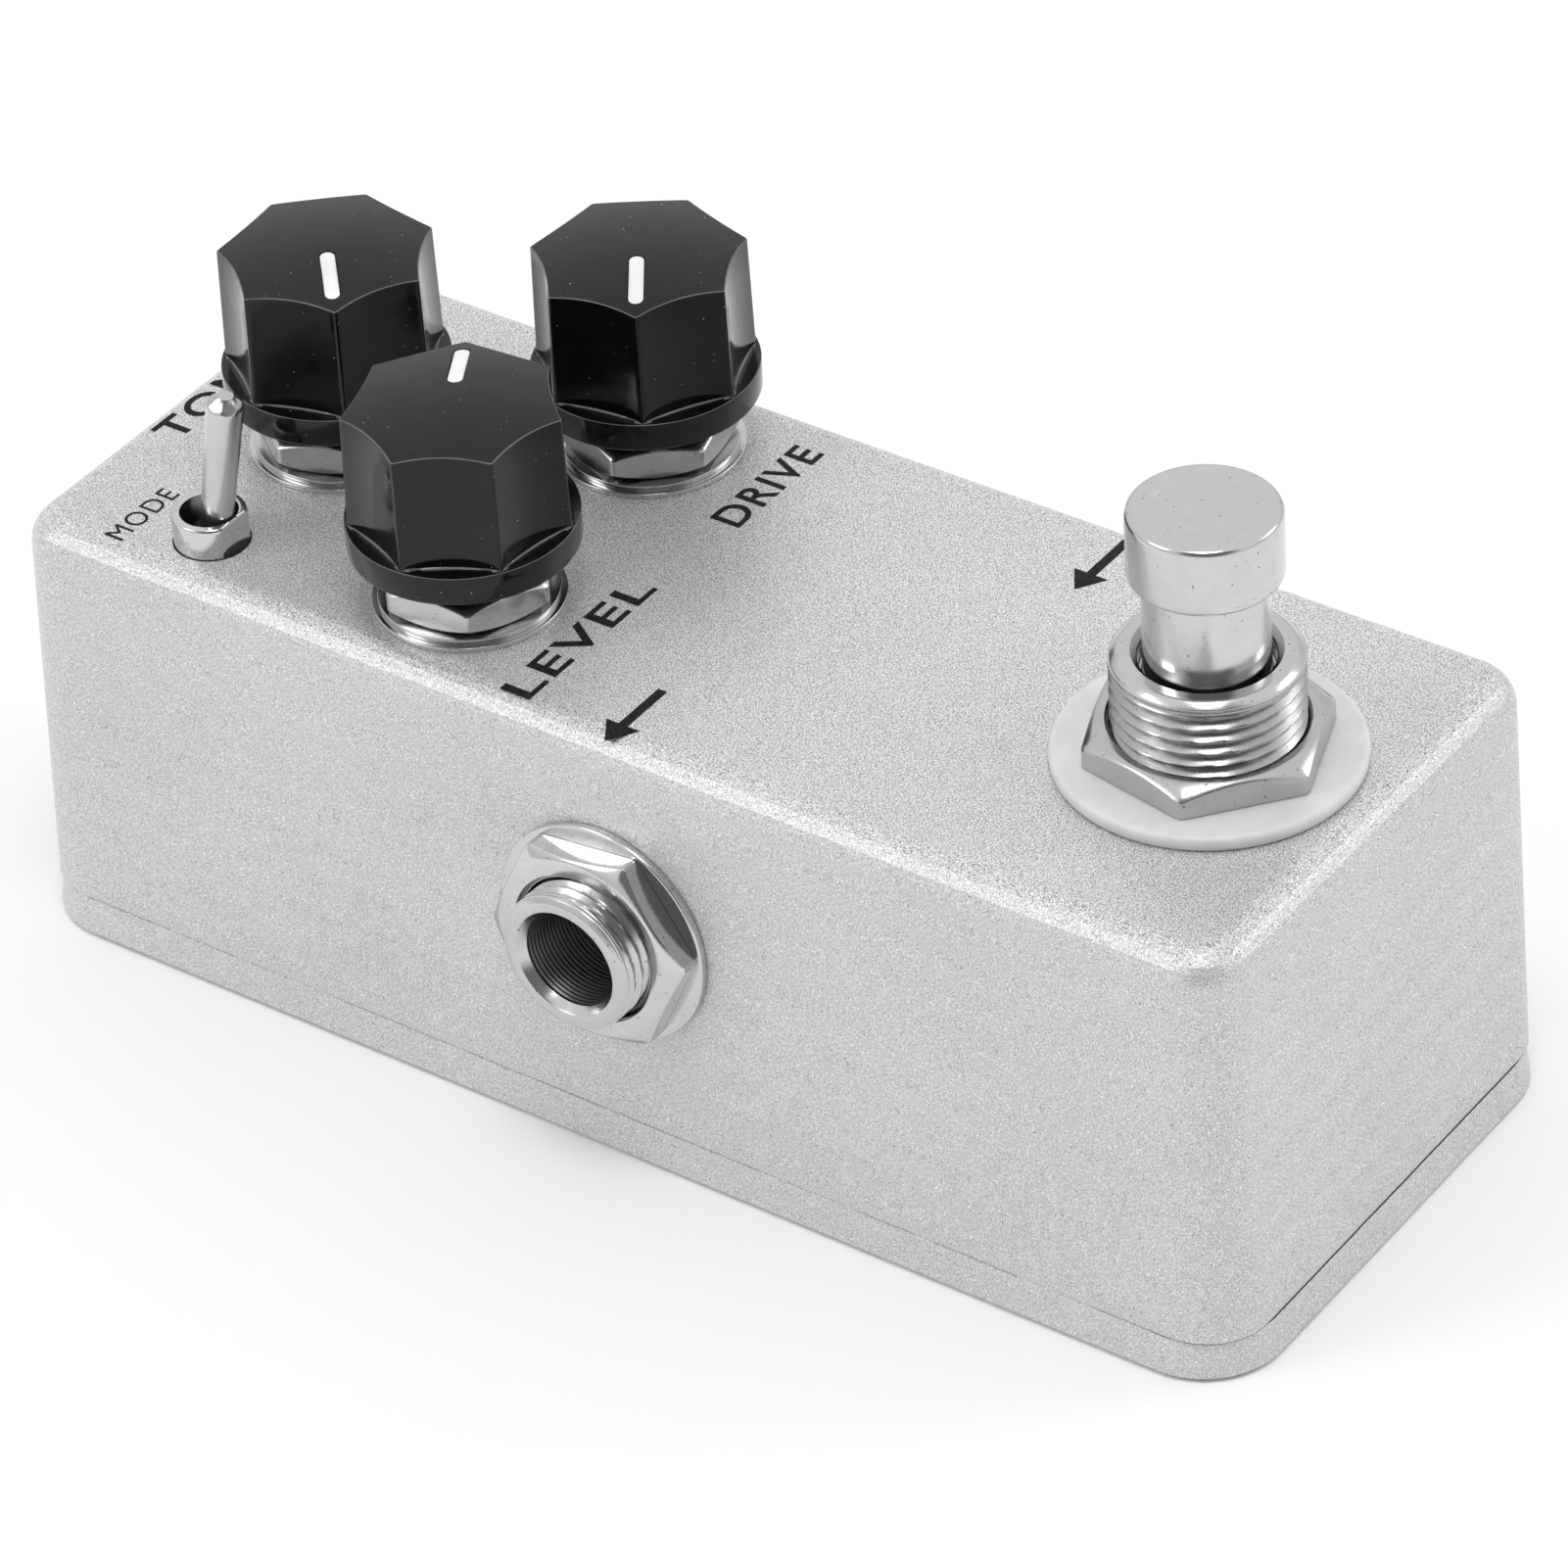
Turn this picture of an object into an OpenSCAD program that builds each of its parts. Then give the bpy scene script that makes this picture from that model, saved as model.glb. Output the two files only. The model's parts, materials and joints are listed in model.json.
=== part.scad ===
// Miniature guitar effects pedal: a die-cast box with three knobs, a toggle switch,
// a footswitch, two jack sockets and a power socket.
// The origin is under the middle of the base. +X is the input side, +Y the far end, +Z up.

/* [Box] */
// Length of the base plate, along Y
box_length = 92.6; // [92.4:0.1:96]
// Width of the base plate, along X
box_width = 38.6; // [38.4:0.1:41]
// Height of the closed box
box_height = 30.8; // [30.8:0.1:33]
// Thickness of the base plate's rim
base_t = 2.9; // [2.6:0.1:3.2]
// How far the base plate stands out past the housing
base_ledge = 0.4; // [0.2:0.1:0.6]
// Plan radius of the base plate's corners
base_corner_r = 5.4; // [4.8:0.1:6]
// Thickness of the cast side walls
wall_t = 2; // [1.8:0.1:2.2]
// Thickness of the cast top
roof_t = 2.2; // [2:0.1:2.4]
// Draft of the cast side walls, in degrees
draft = 2; // [1:0.5:2.5]
// Plan radius of the housing's corners at the seam
corner_r = 4.3; // [4:0.1:5]
// Radius of the housing's top edge
top_edge_r = 2.2; // [1.6:0.1:2.4]

/* [Knobs] */
// Distance of the two near knobs from the middle plane
knob_x = 9.6; // [9.4:0.1:10]
// Place of the two near knobs along Y
knob_y = 14.8; // [14:0.1:15.2]
// Place of the far knob along Y
far_knob_y = 31.9; // [31.6:0.1:32.4]
// Radius of the round skirt under the flutes
skirt_r = 7.3; // [7:0.1:7.5]
// Radius of the corners between the flutes, at the top
flute_corner_r = 6.98; // [6.6:0.02:7]
// Height of the knob's underside above the box
knob_lift = 4.4; // [4.2:0.1:5]
// Height of the flute corners above the box
knob_top = 14.15; // [13.6:0.05:15]
// Direction in which the output knob points, counted from +X
output_angle = 30.5; // [-60:0.5:240]
// Direction in which the gain knob points
gain_angle = -145.5; // [-240:0.5:60]
// Direction in which the treble knob points
treble_angle = -138; // [-240:0.5:60]

/* [Toggle switch] */
// Place of the toggle switch along X
toggle_x = -13; // [-13:0.1:-12.6]
// Place of the toggle switch along Y
toggle_y = 32.4; // [32:0.1:33]
// Lean of the lever at each end of its throw, in degrees
toggle_tilt = 10.5; // [8:0.5:12]

/* [Footswitch] */
// Place of the footswitch along Y
foot_y = -33; // [-33.2:0.1:-32.8]
// Diameter of the footswitch's threaded bushing
foot_thread_d = 11.8; // [11.6:0.1:12]
// Height of the bushing's mouth above the box
foot_bushing_top = 7.9; // [7.5:0.1:8.5]
// Height of the button's top above the box, when it isn't pressed
foot_button_top = 18; // [17.5:0.1:18.5]
// Travel of the button
foot_travel = 3; // [2:0.5:3]

/* [Sockets] */
// Height of both jack sockets at the wall
jack_z = 17; // [16.8:0.1:17.4]
// Place of the output jack along Y
out_jack_y = -0.9; // [-1.2:0.1:-0.6]
// Place of the input jack along Y
in_jack_y = -16.8; // [-17:0.1:-16.4]
// Radius of the plug bore in each jack
plug_r = 3.25; // [3.2:0.01:3.3]
// Height of the power socket at the end wall
power_z = 12; // [11.8:0.1:12.4]

/* [Hidden] */
$fn = 64;

// ---- box ----
fillet_steps = 8;
housing_x = box_width / 2 - base_ledge;
housing_y = box_length / 2 - base_ledge;
roof_z = box_height - roof_t;
cavity_x = housing_x - wall_t;
cavity_y = housing_y - wall_t;
cavity_corner_r = 2.6;
boss_r = 3.3;
boss_inset = 5.1;
boss_x = box_width / 2 - boss_inset;
boss_y = box_length / 2 - boss_inset;
screw_r = 1.7;
screw_clearance = 0.05;
screw_depth = 12;
screw_head_r = 3.3;
lip_h = 1.5;
lip_t = 1.2;
lip_gap = 0.3;
plate_edge = 0.35;

// ---- clearances ----
fit_gap = 0.05;
hole_gap = 0.1;

// ---- knobs and potentiometers ----
flutes = 7;
knob_dome_r = 27.1;
dome_steps = 8;
flute_r = 15.3;
flute_mid_r = 6;
flute_blank_r = 7.2;
skirt_h = 2;
knob_recess_r = 5.2;
knob_recess_h = 3.2;
knob_bore_h = 5;
pointer_w = 1.05;
pointer_from = 1.2;
pointer_to = 5.8;
pointer_depth = 0.8;
pointer_sunk = 0.08;
pot_thread_r = 3.5;
pot_bushing_top = 4.8;
pot_shaft_r = 3;
pot_neck_r = 2.6;
pot_case_x = 9.6;
pot_case_y = 10.4;
pot_case_h = 6.6;
pot_rotor_r = 3.6;
pot_rotor_h = 1;
pot_rotor_drop = 4;
pot_pin_pitch = 2.5;
pot_pin_reach = 7;
pot_pin_w = 0.8;
pot_pin_t = 0.4;
pot_washer_r = 6.1;
pot_washer_t = 0.7;
pot_nut_af = 10;
pot_nut_t = 2.2;
pot_nut_turns = [37, 12, 52];
pots = [[-knob_x, knob_y, 0], [knob_x, knob_y, 0], [0, far_knob_y, 180]];

// ---- boards ----
board_t = 1.6;
board_top = roof_z - pot_case_h;
board_under = board_top - board_t;
board_x = 15.6;
board_y0 = 8.4;
board_y1 = 37.2;
pin_tail = 1.5;
pin_hole_r = 0.65;

// ---- toggle ----
toggle_case_x = 5;
toggle_case_y = 8.2;
toggle_bushing_r = 2.4;
toggle_bushing_top = 2.2;
toggle_flat = 1.85;
toggle_mouth_r = 2.05;
toggle_throat_r = 1.6;
toggle_ball_r = 1.5;
toggle_pivot_z = box_height - 1.5;
toggle_pin_r = 0.45;
toggle_pin_reach = 1.95;
lever_length = 13.4;
lever_r0 = 1;
lever_r1 = 1.2;
lever_tail = 2.6;
toggle_pin_pitch = 2.5;

// ---- footswitch ----
foot_thread_r = foot_thread_d / 2;
foot_washer_r = 9.6;
foot_washer_t = 1;
foot_nut_af = 13.8;
foot_nut_t = 2;
foot_nut_turn = 20;
foot_inner_nut_t = 1.8;
foot_lock_t = 0.5;
foot_lock_r = 8.4;
foot_frame_t = 0.8;
foot_frame_top = 26;
foot_size = 17;
foot_case_bottom = 12;
foot_lug_end = 7.2;
foot_lug_pitch_x = 4.7;
foot_lug_pitch_y = 5.3;
foot_lug_x = 2;
foot_lug_y = 0.8;
foot_cap_r = 4.7;
foot_cap_h = 4.6;
foot_neck_r = 3.85;
foot_bore_r = 3.93;
foot_mouth_r = 4.25;
foot_mouth_h = 1.5;
foot_flange_r = 4.45;
foot_flange_top = 30.1;
foot_flange_h = 0.8;
foot_chamber_r = 4.6;
foot_chamber_top = 30.2;
foot_well_z = 18;
foot_well_r = 4.5;
foot_plunger_r = 1.6;
foot_plunger_end = 17.2;
spring_wire = 0.5;
spring_r = 3.6;
spring_turns = 6;
spring_steps = 12;
switch_board_z = 7.8;
switch_board_size = 16.6;

// ---- jack sockets, along their own axis with 0 at the wall's outer face ----
jack_thread_r = 4.7;
jack_mouth = 4.4;
jack_washer_t = 0.6;
jack_washer_r = 7.6;
jack_nut_t = 1.9;
jack_nut_af = 12.7;
out_jack_nut_turn = 6;
in_jack_nut_turn = 25;
jack_plate_t = 1.2;
jack_plate_back = -wall_t - jack_plate_t;
jack_flange_t = 1;
jack_flange_r = 5.8;
jack_plate_x = 6.5;
jack_plate_low = -9.5;
jack_plate_high = 6.5;
jack_arm_x = 5;
jack_arm_end = -14;
jack_stack_z0 = -13;
jack_stack_z1 = -6;
jack_stack_x = 4;
insulator_t = 0.8;
contact_t = 0.4;
contact_x = 2;
rivet_r = 1.2;
rivet_head_r = 1.9;
rivet_z = -9.5;
arm_top = jack_plate_low + jack_plate_t;
contact_low = arm_top + insulator_t;
stack_top = contact_low + contact_t + insulator_t;

// ---- power socket ----
power_thread_r = 5.6;
power_flange_r = 7;
power_flange_t = 1.6;
power_bore_r = 2.85;
power_bore_end = -9.5;
power_body_end = -13;
power_pin_r = 1.05;
power_pin_root_r = 1.3;
power_pin_top = 0.4;
power_lug_x = 3.2;
power_lug_w = 2;
power_lug_t = 0.5;
power_nut_af = 13;
power_nut_t = 2.5;
power_lug_end = -16.5;

// ---- wires: hand-picked route points ----
wire_r = 0.55;
wire_sides = 8;
wire_steps = 4;
ribbon_x = [-3.6, -1.8, 0, 1.8, 3.6];
ribbon_route = [
    [-26, switch_board_z], [-26, 6.6], [-24.6, 5.2], [-20, 4.6], [-8, 4.4], [2, 4.8],
    [6.4, 6.4], [8.4, 9.6], [9.4, 14], [9.6, 18], [9.6, board_under]
];
ground_link = [
    [-7.1, -8.2, 8.36], [-7.1, -8.2, 10.4], [-5.6, -8.8, 13.4], [0, -9.6, 14.6],
    [5.6, -9.6, 13.2], [7.1, -9.4, 10.4], [7.1, -9.4, 8.36]
];
out_tip_route = [
    [-4.1, -7.6, 9.43], [-4.1, -7.6, 10.3], [-4.4, -9.2, 11], [-5.2, -11, 9.6],
    [-6.2, -13, 7.2], [-6.4, -17, 5.6], [-6.4, -23, 5.2], [-6.4, -25.8, 6.2],
    [-6.4, -26, switch_board_z]
];
in_tip_route = [
    [4.1, -10, 9.43], [4.1, -10, 10.3], [3.5, -8.8, 10.4], [2.9, -7.8, 8.6], [2.7, -8.6, 6.5],
    [2.7, -12, 6], [2.7, -18.6, 6.3], [4.4, -22.4, 6.7], [6.2, -25.2, 6.5],
    [6.4, -26, switch_board_z]
];
power_route = [
    [3.2, 30.2, 11.74], [3.2, 30.2, 13], [2.6, 29.6, 15.4], [1.6, 28.2, 18],
    [1.4, 27.8, board_under]
];

// Outward lean of the cast walls at a height: 0 at the seam, negative above it.
function wall_out(z) = -(z - base_t) * tan(draft);

// Half profile of the housing's wall and rounded top edge, as [outset, height].
function housing_profile() =
    let (
        centre_z = box_height - top_edge_r,
        centre_out = wall_out(centre_z) - top_edge_r / cos(draft),
        arc = [for (i = [0 : fillet_steps])
            let (a = draft + (90 - draft) * i / fillet_steps)
            [centre_out + top_edge_r * cos(a), centre_z + top_edge_r * sin(a)]]
    )
    concat([[0, base_t]], arc);

// Closed block with rounded vertical edges, whose sides follow one profile all round.
module profiled_block(half_x, half_y, plan_r, profile) {
    flat_x = half_x - plan_r;
    flat_y = half_y - plan_r;
    last = len(profile) - 1;
    rotate([90, 0, 90])
        linear_extrude(height = 2 * flat_x, center = true)
            polygon(side_points(half_y, profile, last));
    rotate([90, 0, 0])
        linear_extrude(height = 2 * flat_y, center = true)
            polygon(side_points(half_x, profile, last));
    for (quarter = [0 : 3]) {
        sx = (quarter == 0 || quarter == 3) ? 1 : -1;
        sy = quarter < 2 ? 1 : -1;
        translate([sx * flat_x, sy * flat_y, 0])
            rotate([0, 0, 90 * quarter])
                rotate_extrude(angle = 90)
                    polygon(concat(
                        [[0, profile[0][1]]],
                        [for (p = profile) [plan_r + p[0], p[1]]],
                        [[0, profile[last][1]]]
                    ));
    }
}

function side_points(half, profile, last) = concat(
    [for (p = profile) [half + p[0], p[1]]],
    [for (i = [last : -1 : 0]) [-half - profile[i][0], profile[i][1]]]
);

// Places children at the four base screws.
module at_screws() {
    for (sx = [-1, 1], sy = [-1, 1])
        translate([sx * boss_x, sy * boss_y, 0]) children();
}

// Turns children so that their +Z leaves a side wall and their +Y runs up it.
// face: 0 is the +X wall, 90 the +Y wall, 180 the -X wall.
module on_wall(face, along, z) {
    half = face == 90 ? housing_y : housing_x;
    rotate([0, 0, face])
        translate([half + wall_out(z), face == 180 ? -along : along, z])
            rotate([0, 90 - draft, 0])
                rotate([0, 0, 90])
                    children();
}

module on_out_jack() { on_wall(180, out_jack_y, jack_z) children(); }
module on_in_jack() { on_wall(0, in_jack_y, jack_z) children(); }
module on_power_jack() { on_wall(90, 0, power_z) children(); }

module ring(outer, inner, z0, z1) {
    difference() {
        translate([0, 0, z0]) cylinder(r = outer, h = z1 - z0);
        translate([0, 0, z0 - 1]) cylinder(r = inner, h = z1 - z0 + 2);
    }
}

// Hexagon nut with its upper corners turned down at 30 degrees.
module hex_nut(across, thick, bore, turn) {
    corner = across / 2 / cos(30);
    face_r = across / 2 * 0.97;
    past_corner = corner + 1;
    difference() {
        intersection() {
            rotate([0, 0, turn]) cylinder(r = corner, h = thick, $fn = 6);
            rotate_extrude()
                polygon([
                    [0, -1], [past_corner, -1],
                    [past_corner, thick - (past_corner - face_r) * tan(30)],
                    [face_r, thick], [0, thick]
                ]);
        }
        translate([0, 0, -1]) cylinder(r = bore, h = thick + 2);
    }
}

// ================= box =================
module enclosure() {
    color("silver") difference() {
        profiled_block(housing_x, housing_y, corner_r, housing_profile());
        difference() {
            profiled_block(cavity_x, cavity_y, cavity_corner_r,
                [[wall_out(base_t - 1), base_t - 1], [wall_out(roof_z), roof_z]]);
            at_screws() translate([0, 0, base_t - 2]) cylinder(r = boss_r, h = box_height);
        }
        at_screws() translate([0, 0, base_t - 1])
            cylinder(r = screw_r + screw_clearance, h = screw_depth);
        for (p = pots)
            translate([p[0], p[1], roof_z - 1])
                cylinder(r = pot_thread_r + hole_gap, h = roof_t + 2);
        translate([toggle_x, toggle_y, roof_z - 1])
            cylinder(r = toggle_bushing_r + hole_gap, h = roof_t + 2);
        translate([0, foot_y, roof_z - 1])
            cylinder(r = foot_thread_r + hole_gap, h = roof_t + 2);
        on_out_jack() translate([0, 0, -wall_t - 1])
            cylinder(r = jack_thread_r + hole_gap, h = wall_t + 2);
        on_in_jack() translate([0, 0, -wall_t - 1])
            cylinder(r = jack_thread_r + hole_gap, h = wall_t + 2);
        on_power_jack() translate([0, 0, -wall_t - 1])
            cylinder(r = power_thread_r + hole_gap, h = wall_t + 2);
    }
}

module base_plate() {
    lip_x = cavity_x - lip_gap;
    lip_y = cavity_y - lip_gap;
    color("silver") difference() {
        union() {
            profiled_block(box_width / 2, box_length / 2, base_corner_r,
                [[-plate_edge, 0], [0, plate_edge], [0, base_t - plate_edge], [-plate_edge, base_t]]);
            difference() {
                profiled_block(lip_x, lip_y, cavity_corner_r, [[0, base_t - 1], [0, base_t + lip_h]]);
                translate([lip_t - lip_x, lip_t - lip_y, base_t])
                    cube([2 * (lip_x - lip_t), 2 * (lip_y - lip_t), lip_h + 1]);
                at_screws() translate([0, 0, base_t]) cylinder(r = boss_r + lip_gap, h = lip_h + 1);
            }
        }
        at_screws() {
            translate([0, 0, -1]) cylinder(r = screw_r + hole_gap, h = base_t + 2);
            translate([0, 0, -1])
                cylinder(r1 = screw_head_r + 1, r2 = screw_r, h = screw_head_r - screw_r + 1);
        }
    }
}

module base_screws() {
    head_h = screw_head_r - screw_r - hole_gap;
    slot_w = 0.9;
    slot_l = 3.6;
    slot_h = 1;
    shank_h = 11;
    color("gainsboro") at_screws() difference() {
        rotate_extrude()
            polygon([
                [0, hole_gap], [screw_head_r - hole_gap * 2, hole_gap], [screw_r, head_h],
                [screw_r, shank_h], [screw_r - 0.5, shank_h + 0.6], [0, shank_h + 0.6]
            ]);
        for (a = [45, 135])
            rotate([0, 0, a]) translate([-slot_l / 2, -slot_w / 2, -1])
                cube([slot_l, slot_w, slot_h + 1]);
    }
}

// ================= knobs and potentiometers =================
module at_pot(i) { translate([pots[i][0], pots[i][1], box_height]) children(); }

module pot_case(i) {
    color("seagreen") at_pot(i) difference() {
        translate([-pot_case_x / 2, -pot_case_y / 2, -roof_t - pot_case_h])
            cube([pot_case_x, pot_case_y, pot_case_h]);
        translate([0, 0, -roof_t - pot_rotor_drop - hole_gap])
            cylinder(r = pot_rotor_r + hole_gap, h = pot_rotor_h + 2 * hole_gap);
        translate([0, 0, -roof_t - pot_rotor_drop]) cylinder(r = pot_neck_r + fit_gap, h = 10);
    }
}

module pot_bushing(i) {
    color("gainsboro") at_pot(i)
        ring(pot_thread_r, pot_neck_r + fit_gap, -roof_t, pot_bushing_top);
}

module pot_shaft(i) {
    slit_w = 0.8;
    slit_h = 4;
    end_gap = 0.3;
    shaft_top = knob_lift + knob_recess_h + knob_bore_h - end_gap;
    head_z = pot_bushing_top + end_gap;
    color("silver") at_pot(i) difference() {
        union() {
            translate([0, 0, -roof_t - pot_rotor_drop]) cylinder(r = pot_rotor_r, h = pot_rotor_h);
            translate([0, 0, -roof_t - pot_rotor_drop])
                cylinder(r = pot_neck_r, h = roof_t + pot_rotor_drop + head_z + 1);
            translate([0, 0, head_z]) cylinder(r = pot_shaft_r, h = shaft_top - head_z);
        }
        translate([-pot_shaft_r - 1, -slit_w / 2, shaft_top - slit_h])
            cube([2 * pot_shaft_r + 2, slit_w, slit_h + 1]);
    }
}

// Three pins leave the case on its +Y side (turned by 180 for the far pot) and go down
// through the main board.
module pot_pins() {
    top_z = board_top + 1;
    color("gold") for (p = pots)
        translate([p[0], p[1], 0]) rotate([0, 0, p[2]])
            for (k = [-1 : 1])
                translate([k * pot_pin_pitch - pot_pin_w / 2, 0, 0]) {
                    translate([0, pot_case_y / 2, top_z - pot_pin_t])
                        cube([pot_pin_w, pot_pin_reach - pot_case_y / 2 + pot_pin_t / 2, pot_pin_t]);
                    translate([0, pot_pin_reach - pot_pin_t / 2, board_under - pin_tail])
                        cube([pot_pin_w, pot_pin_t, top_z - board_under + pin_tail]);
                }
}

module pot_washers() {
    color("silver") for (i = [0 : 2]) at_pot(i)
        ring(pot_washer_r, pot_thread_r + fit_gap, 0, pot_washer_t);
}

module pot_nuts() {
    color("silver") for (i = [0 : 2]) at_pot(i) translate([0, 0, pot_washer_t])
        hex_nut(pot_nut_af, pot_nut_t, pot_thread_r + fit_gap, pot_nut_turns[i]);
}

// Slot from near the centre towards one flute corner, with round ends.
module pointer_slot(width, z0, z1) {
    translate([0, 0, z0]) linear_extrude(height = z1 - z0) {
        translate([pointer_from + pointer_w / 2, -width / 2])
            square([pointer_to - pointer_from - pointer_w, width]);
        translate([pointer_from + pointer_w / 2, 0]) circle(r = width / 2);
        translate([pointer_to - pointer_w / 2, 0]) circle(r = width / 2);
    }
}

// Height of the domed top at a distance from the knob's axis.
function dome_z(r) = knob_top + sqrt(pow(knob_dome_r, 2) - r * r)
    - sqrt(pow(knob_dome_r, 2) - pow(flute_corner_r, 2));

// Half profile of the dome from a radius to the axis, in small cone steps.
function dome_profile(from_r, drop) =
    [for (i = [0 : dome_steps]) let (r = from_r * (1 - i / dome_steps)) [r, dome_z(r) - drop]];

// Fluted knob that points along +X before it is turned.
module knob(i, angle) {
    body_top = knob_top + 2;
    slot_floor = knob_top - pointer_depth + 0.3;
    skirt_top = knob_lift + skirt_h;
    color([0.08, 0.08, 0.08]) at_pot(i) rotate([0, 0, angle]) difference() {
        union() {
            translate([0, 0, knob_lift]) cylinder(r = skirt_r, h = skirt_h);
            difference() {
                rotate_extrude()
                    polygon(concat([[0, skirt_top - 0.5], [flute_blank_r, skirt_top - 0.5]],
                        dome_profile(flute_blank_r, 0)));
                for (k = [0 : flutes - 1])
                    rotate([0, 0, 360 / flutes * (k + 0.5)])
                        translate([flute_mid_r + flute_r, 0, skirt_top])
                            cylinder(r = flute_r, h = body_top, $fn = 128);
            }
        }
        translate([0, 0, knob_lift - 1]) cylinder(r = knob_recess_r, h = knob_recess_h + 1);
        translate([0, 0, knob_lift]) cylinder(r = pot_shaft_r, h = knob_recess_h + knob_bore_h);
        pointer_slot(pointer_w, slot_floor, body_top);
    }
}

module knob_pointer(i, angle) {
    slot_floor = knob_top - pointer_depth + 0.3;
    color("white") at_pot(i) rotate([0, 0, angle]) intersection() {
        pointer_slot(pointer_w, slot_floor, knob_top + 2);
        rotate_extrude()
            polygon(concat([[0, slot_floor - 1], [flute_corner_r, slot_floor - 1]],
                dome_profile(flute_corner_r, pointer_sunk)));
    }
}

// ================= toggle switch =================
module toggle_case() {
    pocket_x = 2.6;
    pocket_y = 5;
    pocket_h = 4.2;
    pocket_roof = 1;
    color("firebrick") translate([toggle_x, toggle_y, 0]) difference() {
        translate([-toggle_case_x / 2, -toggle_case_y / 2, board_top])
            cube([toggle_case_x, toggle_case_y, roof_z - board_top]);
        translate([-pocket_x / 2, -pocket_y / 2, roof_z - pocket_h])
            cube([pocket_x, pocket_y, pocket_h - pocket_roof]);
        translate([0, 0, roof_z - pocket_roof - 1]) cylinder(r = toggle_throat_r, h = 3);
    }
}

module toggle_bushing() {
    color("gainsboro") translate([toggle_x, toggle_y, 0]) difference() {
        translate([0, 0, roof_z])
            cylinder(r = toggle_bushing_r, h = roof_t + toggle_bushing_top);
        translate([-5, -toggle_flat - 5, roof_z - 1]) cube([10, 5, 10]);
        translate([0, 0, roof_z - 1]) cylinder(r = toggle_throat_r, h = 10);
        translate([0, 0, box_height - 1]) cylinder(r = toggle_mouth_r, h = 10);
        translate([0, 0, toggle_pivot_z]) rotate([0, 90, 0])
            cylinder(r = toggle_pin_r + fit_gap, h = 2 * (toggle_pin_reach + fit_gap), center = true);
    }
}

module toggle_lever() {
    tail_r = 0.7;
    tip_h = 0.9;
    tip_r = 0.7;
    color("gainsboro") translate([toggle_x, toggle_y, toggle_pivot_z])
        rotate([toggle_tilt, 0, 0]) {
            sphere(r = toggle_ball_r);
            rotate([0, 90, 0])
                cylinder(r = toggle_pin_r, h = 2 * toggle_pin_reach, center = true);
            cylinder(r1 = lever_r0, r2 = lever_r1, h = lever_length - tip_h);
            translate([0, 0, lever_length - tip_h]) cylinder(r1 = lever_r1, r2 = tip_r, h = tip_h);
            translate([0, 0, -lever_tail]) cylinder(r = tail_r, h = lever_tail);
        }
}

module toggle_terminals() {
    pin_r = 0.4;
    color("gold") for (k = [-1 : 1])
        translate([toggle_x, toggle_y + k * toggle_pin_pitch, board_under - pin_tail])
            cylinder(r = pin_r, h = board_t + pin_tail);
}

// ================= footswitch =================
module at_foot(z = 0) { translate([0, foot_y, z]) children(); }

module footswitch_button() {
    cap_top = box_height + foot_button_top;
    cap_low = cap_top - foot_cap_h;
    edge = 0.6;
    steps = 6;
    flange_low = foot_flange_top - foot_flange_h;
    top_arc = [for (i = [0 : steps]) let (a = 90 * i / steps)
        [foot_cap_r - edge + edge * cos(a), cap_top - edge + edge * sin(a)]];
    low_arc = [for (i = [0 : steps]) let (a = -90 + 90 * i / steps)
        [foot_cap_r - edge + edge * cos(a), cap_low + edge + edge * sin(a)]];
    color("gainsboro") at_foot() rotate_extrude()
        polygon(concat(
            [[0, flange_low], [foot_flange_r, flange_low], [foot_flange_r, foot_flange_top],
             [foot_neck_r, foot_flange_top], [foot_neck_r, cap_low]],
            low_arc, top_arc, [[0, cap_top]]
        ));
}

module footswitch_plunger() {
    color("white") at_foot(foot_plunger_end)
        cylinder(r = foot_plunger_r, h = foot_flange_top - foot_flange_h - foot_plunger_end);
}

// Round-wire helix: a ring of points is set square to the wire at each step.
module footswitch_spring() {
    sides = 6;
    wire = spring_wire / 2;
    low = foot_well_z + wire;
    high = foot_flange_top - foot_flange_h - wire;
    rings = spring_turns * spring_steps;
    points = [for (i = [0 : rings], k = [0 : sides - 1])
        let (
            a = 360 * i / spring_steps,
            b = 360 * k / sides,
            r = spring_r + wire * cos(b)
        )
        [r * cos(a), r * sin(a), low + (high - low) * i / rings + wire * sin(b)]];
    color("silver") at_foot()
        polyhedron(points = points, faces = tube_faces(rings + 1, sides), convexity = 10);
}

module footswitch_bushing() {
    mouth_z = box_height + foot_bushing_top;
    edge = 0.5;
    color("gainsboro") at_foot() rotate_extrude()
        polygon([
            [foot_chamber_r, foot_frame_top], [foot_thread_r, foot_frame_top],
            [foot_thread_r, mouth_z - edge], [foot_thread_r - edge, mouth_z],
            [foot_mouth_r, mouth_z], [foot_mouth_r, mouth_z - foot_mouth_h],
            [foot_bore_r, mouth_z - foot_mouth_h], [foot_bore_r, foot_chamber_top],
            [foot_chamber_r, foot_chamber_top]
        ]);
}

module footswitch_nut() {
    color("gainsboro") at_foot(box_height + foot_washer_t)
        hex_nut(foot_nut_af, foot_nut_t, foot_thread_r + fit_gap, foot_nut_turn);
}

module footswitch_washer() {
    color("white") at_foot(box_height) ring(foot_washer_r, foot_thread_r + hole_gap, 0, foot_washer_t);
}

module footswitch_lock_washer() {
    teeth = 10;
    gap_w = 1.2;
    gap_l = 1.6;
    color("silver") at_foot(roof_z - foot_lock_t) difference() {
        cylinder(r = foot_lock_r, h = foot_lock_t);
        translate([0, 0, -1]) cylinder(r = foot_thread_r + hole_gap, h = foot_lock_t + 2);
        for (k = [0 : teeth - 1])
            rotate([0, 0, 360 / teeth * k]) translate([foot_thread_r - 0.5, -gap_w / 2, -1])
                cube([gap_l, gap_w, foot_lock_t + 2]);
    }
}

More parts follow.
